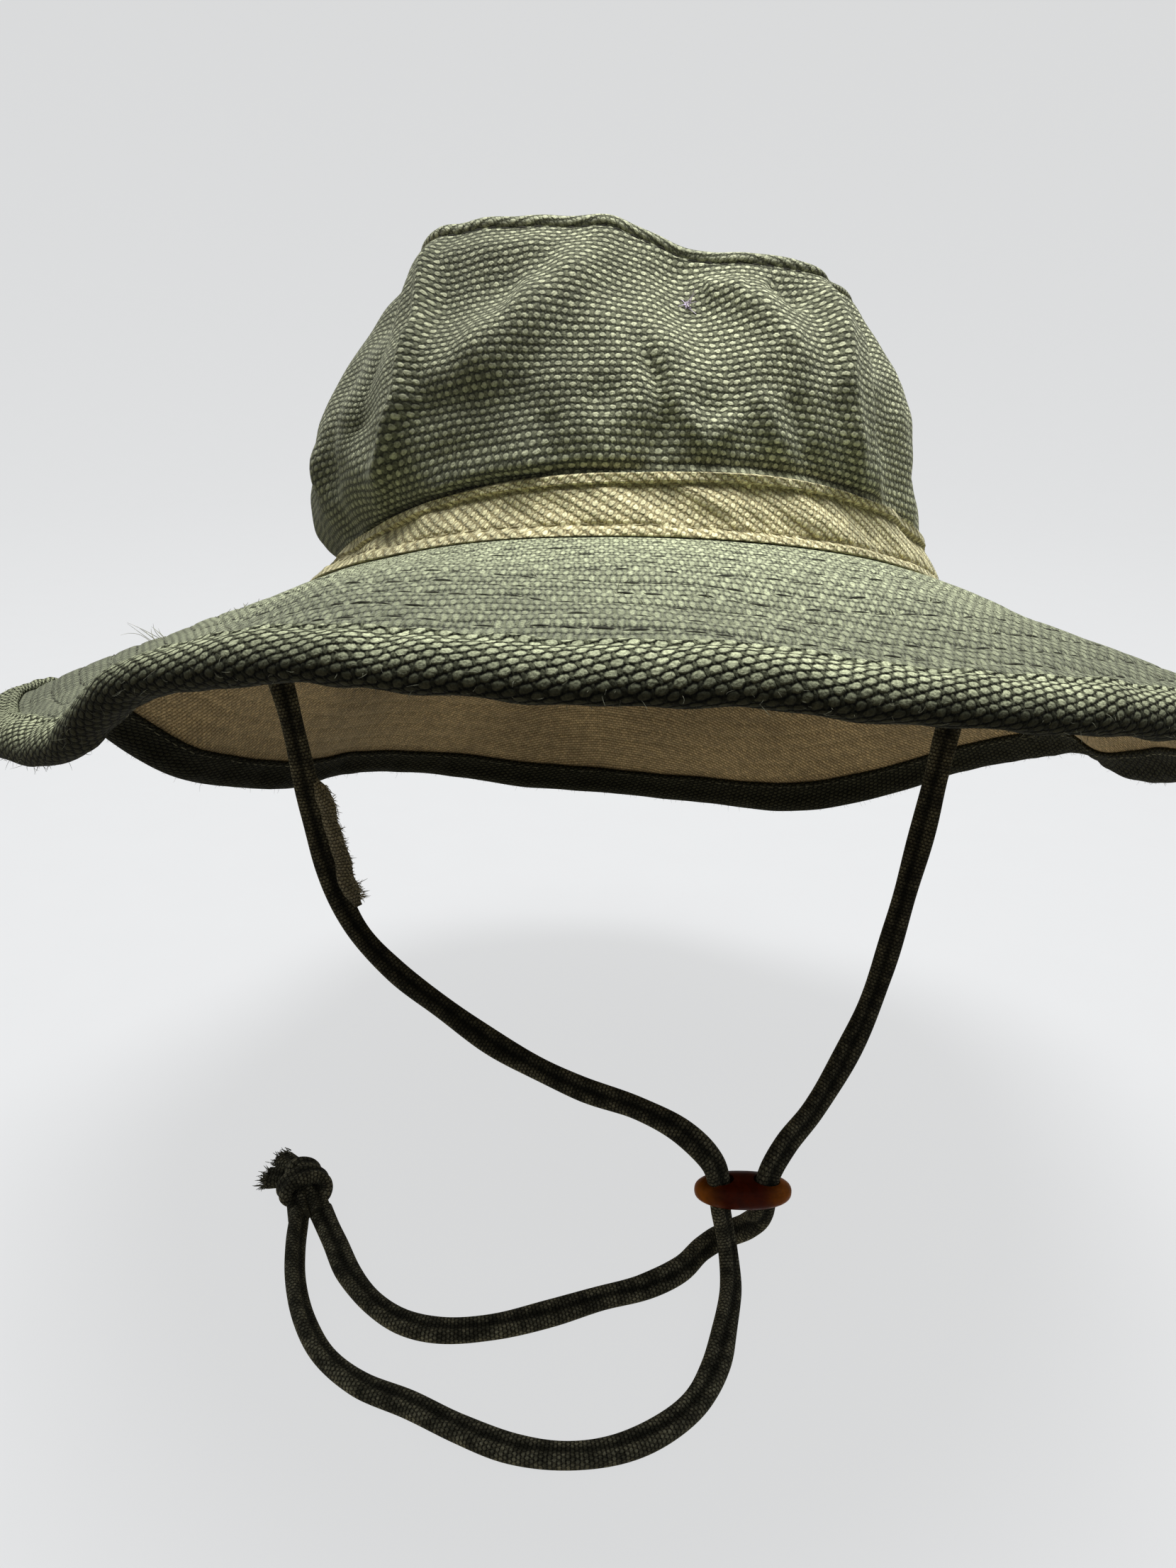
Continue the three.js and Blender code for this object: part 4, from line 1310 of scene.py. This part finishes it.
def bead_material():
    """Dark red-brown horn that goes amber towards its thin ends."""
    shader = Shader("bead")
    place = shader.place()
    end = shader.math("ABSOLUTE", shader.split(place)[0])
    end = shader.math("MULTIPLY_ADD", shader.noise(place, 160.0, 3.0), 0.004, end)
    colour = shader.mix(shader.ramp(end, 0.0065, 0.0155), rgb(BEAD_BROWN), rgb(BEAD_AMBER))
    colour = shader.shade(colour, shader.noise(place, 420.0, 2.0), *NOISE_SPAN, 0.75, 1.2)
    scuff = shader.noise(place, 700.0, 3.0)
    shader.bump(scuff, 0.03)
    return shader.finish(colour, shader.ramp(scuff, 0.35, 0.7, 0.3, 0.45), 0.0, 0.05)


# Pieces of the cord

def slider_body():
    """Plump oval with rounded edges, about its own middle."""
    def eased(value, power):
        return np.sign(value) * np.abs(value) ** power

    rise = np.radians(np.linspace(-90, 90, 41))[1:-1, None]
    angle = np.radians(np.arange(0, 360, 3.75))[None, :]
    flat = eased(np.cos(rise), SLIDER_EASE)
    x = SLIDER_LENGTH / 2 * flat * eased(np.cos(angle), SLIDER_OVAL)
    y = SLIDER_DEPTH / 2 * flat * eased(np.sin(angle), SLIDER_OVAL)
    z = SLIDER_THICK / 2 * np.broadcast_to(eased(np.sin(rise), SLIDER_EASE), x.shape)
    grid = np.stack([x, y, z], axis=-1)
    rows, columns = x.shape
    ring = np.arange(columns)
    points = np.concatenate([grid.reshape(-1, 3), [-UP * SLIDER_THICK / 2, UP * SLIDER_THICK / 2]])
    low = fan(ring, len(points) - 2)[:, ::-1]
    high = fan(ring + (rows - 1) * columns, len(points) - 1)
    quads = grid_faces(rows, columns, False, True)[:, ::-1]
    return new_object("cord_slider_bead", points, [quads, low, high])


def slider_drill(side):
    """Oval rod that cuts one hole."""
    angle = np.radians(np.arange(0, 360, 7.5))
    x = side * SLIDER_HOLE_SPREAD / 2 + SLIDER_HOLE_WIDE * np.cos(angle)
    y = SLIDER_HOLE_DEEP * np.sin(angle)
    ends = [np.stack([x, y, np.full_like(x, z)], axis=1) for z in (-SLIDER_THICK, SLIDER_THICK)]
    count = len(angle)
    quads = grid_faces(2, count, False, True)[:, ::-1]
    caps = [np.arange(count)[None, ::-1], np.arange(count)[None, :] + count]
    return new_object(f"slider_drill_{side}", np.concatenate(ends), [quads, *caps])


def slider_bead():
    """Oval bead with two holes for the cords."""
    body = slider_body()
    drills = [slider_drill(side) for side in (-1, 1)]
    for drill in drills:
        cut = body.modifiers.new("hole", "BOOLEAN")
        cut.operation = "DIFFERENCE"
        cut.solver = "EXACT"
        cut.object = drill
    bpy.context.view_layer.update()
    shape = body.evaluated_get(bpy.context.evaluated_depsgraph_get())
    mesh = bpy.data.meshes.new_from_object(shape)
    body.modifiers.clear()
    body.data = mesh
    for drill in drills:
        bpy.data.objects.remove(drill)
    mesh.shade_smooth()
    mesh.set_sharp_from_angle(angle=math.radians(50))
    body.location = [c * MM for c in SLIDER_AT]
    return body


def knot_wrap():
    """Turns of the cord round the knot's middle, narrower towards the cut ends, both ends tucked in."""
    t = np.linspace(0, 1, 170)
    angle = 2 * math.pi * KNOT_TURNS * t + math.radians(KNOT_FROM)
    tuck = smooth(t, 0, 0.08) * (1 - smooth(t, 0.9, 1))
    size = (1 - KNOT_TAPER * t) * (KNOT_TUCK + (1 - KNOT_TUCK) * tuck)
    run = KNOT_PITCH * KNOT_TURNS * (t - 0.42) + KNOT_SKEW * np.sin(angle + 0.6)
    run += KNOT_TUCK_RUN * (1 - smooth(t, 0, 0.1) - smooth(t, 0.9, 1))
    across = np.outer(np.cos(angle), KNOT_ACROSS)
    up = np.outer(np.sin(angle), UP)
    ring = size[:, None] * (KNOT_WIDE * across + KNOT_TALL * up)
    path = KNOT_MIDDLE + ring + np.outer(run, KNOT_ALONG)
    return path, across / KNOT_WIDE + up / KNOT_TALL + np.outer(0.035 * (1 - t), KNOT_ALONG)


def knot_core(side, route):
    """One strand through the knot, from inside its cord to its cut end."""
    tail = np.array(route[-1], float)
    start = tail + unit(np.array(route[-2]) - tail) * KNOT_OVERLAP
    entering = tail + KNOT_ALONG * KNOT_OVERLAP
    middle = KNOT_MIDDLE + KNOT_ACROSS * side * KNOT_APART
    leaving = KNOT_MIDDLE + KNOT_ACROSS * side * KNOT_LEAVE_APART + KNOT_ALONG * KNOT_LEAVE
    end = KNOT_MIDDLE + np.array(KNOT_ENDS[side])
    path = curve_through((start, entering, middle, leaving, end), 0.8)
    return path, np.tile(UP + KNOT_ACROSS * side * 0.25, (len(path), 1))


def tied_knot():
    """Both cut ends held by a wrap, as one piece, with the fibres that fray from them."""
    roots = []
    aims = []
    count, rng = fibre_draws("cord_end_fray")
    shapes = [braid_shape(*knot_wrap(), CORD_WIDTH, CORD_DEPTH, 61, KNOT_SIDES)]
    for side, route in ((-1, LEFT_ROUTE), (1, RIGHT_ROUTE)):
        path, facing = knot_core(side, route)
        shapes.append(braid_shape(path, facing, KNOT_CORE_WIDTH, CORD_DEPTH, 62 + side, KNOT_SIDES))
        ahead = unit(path[-1] - path[-3])
        across = np.cross(ahead, UP)
        spots = rng.uniform(-1, 1, (count, 2))
        spread = np.outer(spots[:, 0] * KNOT_FRAY_WIDE, across) + np.outer(spots[:, 1] * KNOT_FRAY_TALL, UP)
        roots.append(path[-1] + spread)
        aims.append(ahead + np.outer(spots[:, 0] * 0.3, across) + rng.normal(0, 0.15, (count, 3)))
    knot = new_object("cord_knot_braid", *merged(shapes))
    return knot, fibres("cord_end_fray", np.concatenate(roots), np.concatenate(aims))


def splice(path):
    """Worn second length of braid beside the left strand, with fibres along its free edge."""
    lengths = run_length(path)
    chosen = (lengths >= SPLICE_FROM) & (lengths <= SPLICE_TO)
    base = path[chosen]
    share = (lengths[chosen] - SPLICE_FROM) / (SPLICE_TO - SPLICE_FROM)
    front = cord_facing(base)
    ahead = unit(np.gradient(base, axis=0))
    right = unit(np.cross(front, ahead))
    right *= np.sign(right[:, :1])
    wave = 0.3 * np.sin(share * 13) + 0.15 * np.sin(share * 31 + 1)
    bow = SPLICE_BOW * np.sin(share ** 0.8 * math.pi) ** 0.7
    shift = SPLICE_OFF + bow + SPLICE_KICK * smooth(share, 0.75, 0.95) + wave
    middle = base + right * shift[:, None] + front
    facing = front + right * 0.35
    shape = braid_shape(middle, facing, SPLICE_WIDTH, SPLICE_DEPTH, 71, 22, taper=SPLICE_TAPER)
    worn = new_object("cord_splice_braid", *shape)
    count, rng = fibre_draws("cord_splice_fray")
    at = np.sort(rng.integers(2, len(middle) - 2, count))
    roots = middle[at] + right[at] * rng.uniform(0.8, 2.3, (count, 1))
    roots = roots + front[at] * rng.uniform(-0.8, 1.6, (count, 1))
    aims = right[at] * 0.45 + front[at] * rng.uniform(-0.1, 0.4, (count, 1))
    aims = aims + ahead[at] * rng.normal(0.5, 0.4, (count, 1))
    low = at > len(middle) * 0.8
    aims[low] += right[at[low]] * 0.6
    return worn, fibres("cord_splice_fray", roots, aims)


def chin_cords(material):
    """Both strands, each from its exit under the brim to the knot."""
    made = []
    sides = (("left", LEFT_ROUTE, LEFT_TWIST, 51), ("right", RIGHT_ROUTE, RIGHT_TWIST, 52))
    for side, route, table, seed in sides:
        path = curve_through(route, 1.0)
        twist = cord_twist(path, table)
        path = settle(path, twist)
        facing = twisted(path, cord_facing(path), twist)
        shape = braid_shape(path, facing, CORD_WIDTH, CORD_DEPTH, seed)
        piece = new_object(f"chin_cord_{side}_braid", *shape)
        register(piece, material, "cord", f"chin_cord_{side}")
        made.append((piece, path, route[0]))
    return made


# Loose threads and lint on the hat

def brim_fray():
    """Tuft of threads pulled from the brim's upper outline at the left."""
    count, rng = fibre_draws("brim_fray")
    turn = FRAY_TURN + rng.uniform(-1.2, 1.2, count)
    out = FRAY_OUT + rng.uniform(-2.0, 2.0, count)
    roots, normals = brim_top_place(turn, out)
    return fibres("brim_fray", roots, normals + FRAY_LEAN + rng.normal(0, 0.3, (count, 3)))


def brim_loops():
    """Broken quilting threads that stand up in pale loops along the rows."""
    count, rng = fibre_draws("brim_loops")
    turn = rng.uniform(-180, 180, count)
    out = rng.choice(STITCH_ROWS[3:], count) + rng.normal(0, 0.4, count)
    roots, normals = brim_top_place(turn, out)
    aims = normals * 0.15 + rng.normal(0, 0.5, (count, 3))
    aims -= normals * np.minimum((aims * normals).sum(axis=1, keepdims=True), 0)
    return fibres("brim_loops", roots, aims)


def binding_fuzz():
    """Short fibres that stand out from the rolled edge."""
    count, rng = fibre_draws("binding_fuzz")
    turn = rng.uniform(-180, 180, count)
    angle = np.radians(rng.uniform(-75, 60, count))
    out = BRIM_WIDTH - BINDING_ROUND * (1 - np.cos(angle))
    away = brim_point(turn, out) - brim_point(turn, out - 1)
    roots = brim_skin(turn, out, (BINDING_TOP_FACE + BINDING_PUFF - 0.3) * np.sin(angle))
    aims = away * np.cos(angle)[:, None] + brim_normal(turn, out) * np.sin(angle)[:, None]
    return fibres("binding_fuzz", tipped(roots), tipped(aims + rng.normal(0, 0.5, (count, 3))))


def crown_lint():
    """Small curl of pale lint caught on the crown."""
    count, rng = fibre_draws("crown_lint")
    turn = LINT_TURN + rng.uniform(-0.35, 0.35, count)
    height = LINT_HEIGHT + rng.uniform(-0.6, 0.6, count)
    roots, normals = crown_place(turn, height)
    return fibres("crown_lint", roots, normals * 0.5 + rng.normal(0, 0.6, (count, 3)))


# Camera, light and floor

def set_camera():
    data = bpy.data.cameras.new("camera")
    data.lens = CAMERA_LENS
    data.sensor_width = CAMERA_SENSOR
    data.clip_start = CAMERA_NEAR
    camera = bpy.data.objects.new("camera", data)
    bpy.context.scene.collection.objects.link(camera)
    tilt = Matrix.Rotation(math.radians(CAMERA_TILT), 4, "X")
    roll = Matrix.Rotation(math.radians(CAMERA_ROLL), 4, "Z")
    camera.matrix_world = Matrix.Translation([c * MM for c in CAMERA_AT]) @ tilt @ roll
    bpy.context.scene.camera = camera


def set_lamp():
    data = bpy.data.lights.new("overhead", "AREA")
    data.shape = "DISK"
    data.size = KEY_SIZE
    data.energy = KEY_POWER
    lamp = bpy.data.objects.new("overhead", data)
    bpy.context.scene.collection.objects.link(lamp)
    lamp.location = KEY_AT
    lamp.rotation_euler = (Vector(KEY_TO) - Vector(KEY_AT)).to_track_quat("-Z", "Y").to_euler()


def set_world():
    """Bright above and behind, dim in front and at the left, with a warm glow from below."""
    world = bpy.data.worlds.new("studio")
    world.use_nodes = True
    nodes = Nodes(world.node_tree)
    x, y, z = nodes.split(nodes.make("TexCoord", {})["Generated"])
    front = nodes.ramp(y, -0.9, 0.3, SKY_FRONT, 1.0)
    left = nodes.ramp(x, -0.9, 0.4, SKY_LEFT, 1.0)
    sky = nodes.math("MULTIPLY", nodes.ramp(z, 0.15, 1.0, SKY_LEVEL, SKY_ABOVE), front)
    sky = nodes.math("MULTIPLY", sky, left)
    glow = nodes.ramp(x, -0.9, 0.1, BELOW_LEFT, BELOW)
    glow = nodes.math("MULTIPLY", nodes.ramp(z, -0.5, -0.05, 1.0, 0.0), glow)
    tint = nodes.mix(nodes.ramp(z, -0.3, 0.05), rgb(BELOW_TINT), rgb(SKY_TINT))
    background = world.node_tree.nodes["Background"].inputs
    nodes.feed(background, {"Color": tint, "Strength": nodes.math("ADD", sky, glow)})
    bpy.context.scene.world = world
    bpy.context.scene.view_settings.view_transform = "Standard"


def studio_floor():
    """Pale bowl: level floor that rises into a far wall on all sides."""
    bend = np.radians(np.arange(0, 91, 9))
    radii = np.concatenate([FLOOR_RINGS, FLOOR_LEVEL + FLOOR_BEND * np.sin(bend), [FLOOR_LEVEL + FLOOR_BEND]])
    heights = np.concatenate([np.zeros(len(FLOOR_RINGS)), FLOOR_BEND * (1 - np.cos(bend)), [FLOOR_WALL]])
    angle = np.arange(FLOOR_SIDES) * (2 * math.pi / FLOOR_SIDES)
    x = np.outer(np.cos(angle), radii)
    y = np.outer(np.sin(angle), radii)
    grid = np.stack([x, y, np.broadcast_to(heights, x.shape)], axis=-1) / MM
    points = np.concatenate([grid.reshape(-1, 3), [[0, 0, 0]]]) + UP * FLOOR
    quads = grid_faces(FLOOR_SIDES, len(radii), True, False)[:, ::-1]
    middle = fan(np.arange(FLOOR_SIDES) * len(radii), len(points) - 1)
    floor = new_object("studio_floor", points, [quads, middle])
    shader = Shader("studio_floor")
    tint = shader.mix(shader.noise(shader.place(), 40.0, 3.0), rgb(FLOOR_TINTS[0]), rgb(FLOOR_TINTS[1]))
    shader.feed(shader.surface, {"Emission Color": rgb(FLOOR_GLOW_TINT), "Emission Strength": FLOOR_GLOW})
    floor.data.materials.append(shader.finish(tint, 0.8, 0.0, 0.1))
    floor.visible_diffuse = False


# Making

def register(piece, material, slot, *nodes):
    piece.data.materials.clear()
    piece.data.materials.append(material)
    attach(piece, "root")
    if nodes:
        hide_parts(*nodes)
    return piece


set_camera()
set_world()
set_lamp()
studio_floor()
thread = {name: thread_material(name) for name in THREADS}

cord_cloth = cloth_material("cord")
cords = chin_cords(cord_cloth)
bead = register(slider_bead(), bead_material(), "bead", "cord_slider")
knot, end_fray = tied_knot()
register(knot, cord_cloth, "cord", "cord_knot")
register(end_fray, thread["cord_fibre"], "cord")
worn, fuzz = splice(cords[0][1])
register(worn, cloth_material("worn_cord"), "cord")
register(fuzz, thread["worn_fibre"], "cord")

register(crown_wall(), cloth_material("canvas"), "canvas", "crown_wall")
register(crown_top(), cloth_material("faded"), "canvas", "crown_top")
register(hat_band(), cloth_material("band"), "band", "hat_band")
upper = brim_cloth("brim_upper_cloth", GAP / 2, BRIM_TOP_FACE, True)
register(upper, cloth_material("brim"), "canvas", "brim_upper")
under = brim_cloth("brim_under_cloth", BRIM_UNDER_FACE, -GAP / 2, False)
register(under, cloth_material("lining"), "lining", "brim_under")
register(brim_binding(), cloth_material("binding"), "binding", "brim_binding")

under_rows = [row for row in STITCH_ROWS if row < BRIM_WIDTH - BINDING_UNDER]
register(dashes("brim_top_stitches", brim_top_place, STITCH_ROWS), thread["quilt_thread"], "canvas")
register(brim_loops(), thread["pale_fibre"], "canvas")
register(dashes("brim_under_stitches", brim_under_place, under_rows), thread["tan_thread"], "lining")
binding_stitches = dashes("binding_under_stitches", binding_under_place, BINDING_ROWS)
register(binding_stitches, thread["olive_thread"], "binding")
register(dashes("crown_seam_stitches", crown_place, SEAM_ROWS), thread["dark_thread"], "canvas")
register(dashes("band_stitches", band_place, BAND_ROWS), thread["tan_thread"], "band")
register(brim_fray(), thread["pale_fibre"], "canvas")
register(binding_fuzz(), thread["olive_thread"], "binding")
register(crown_lint(), thread["lint"], "canvas")
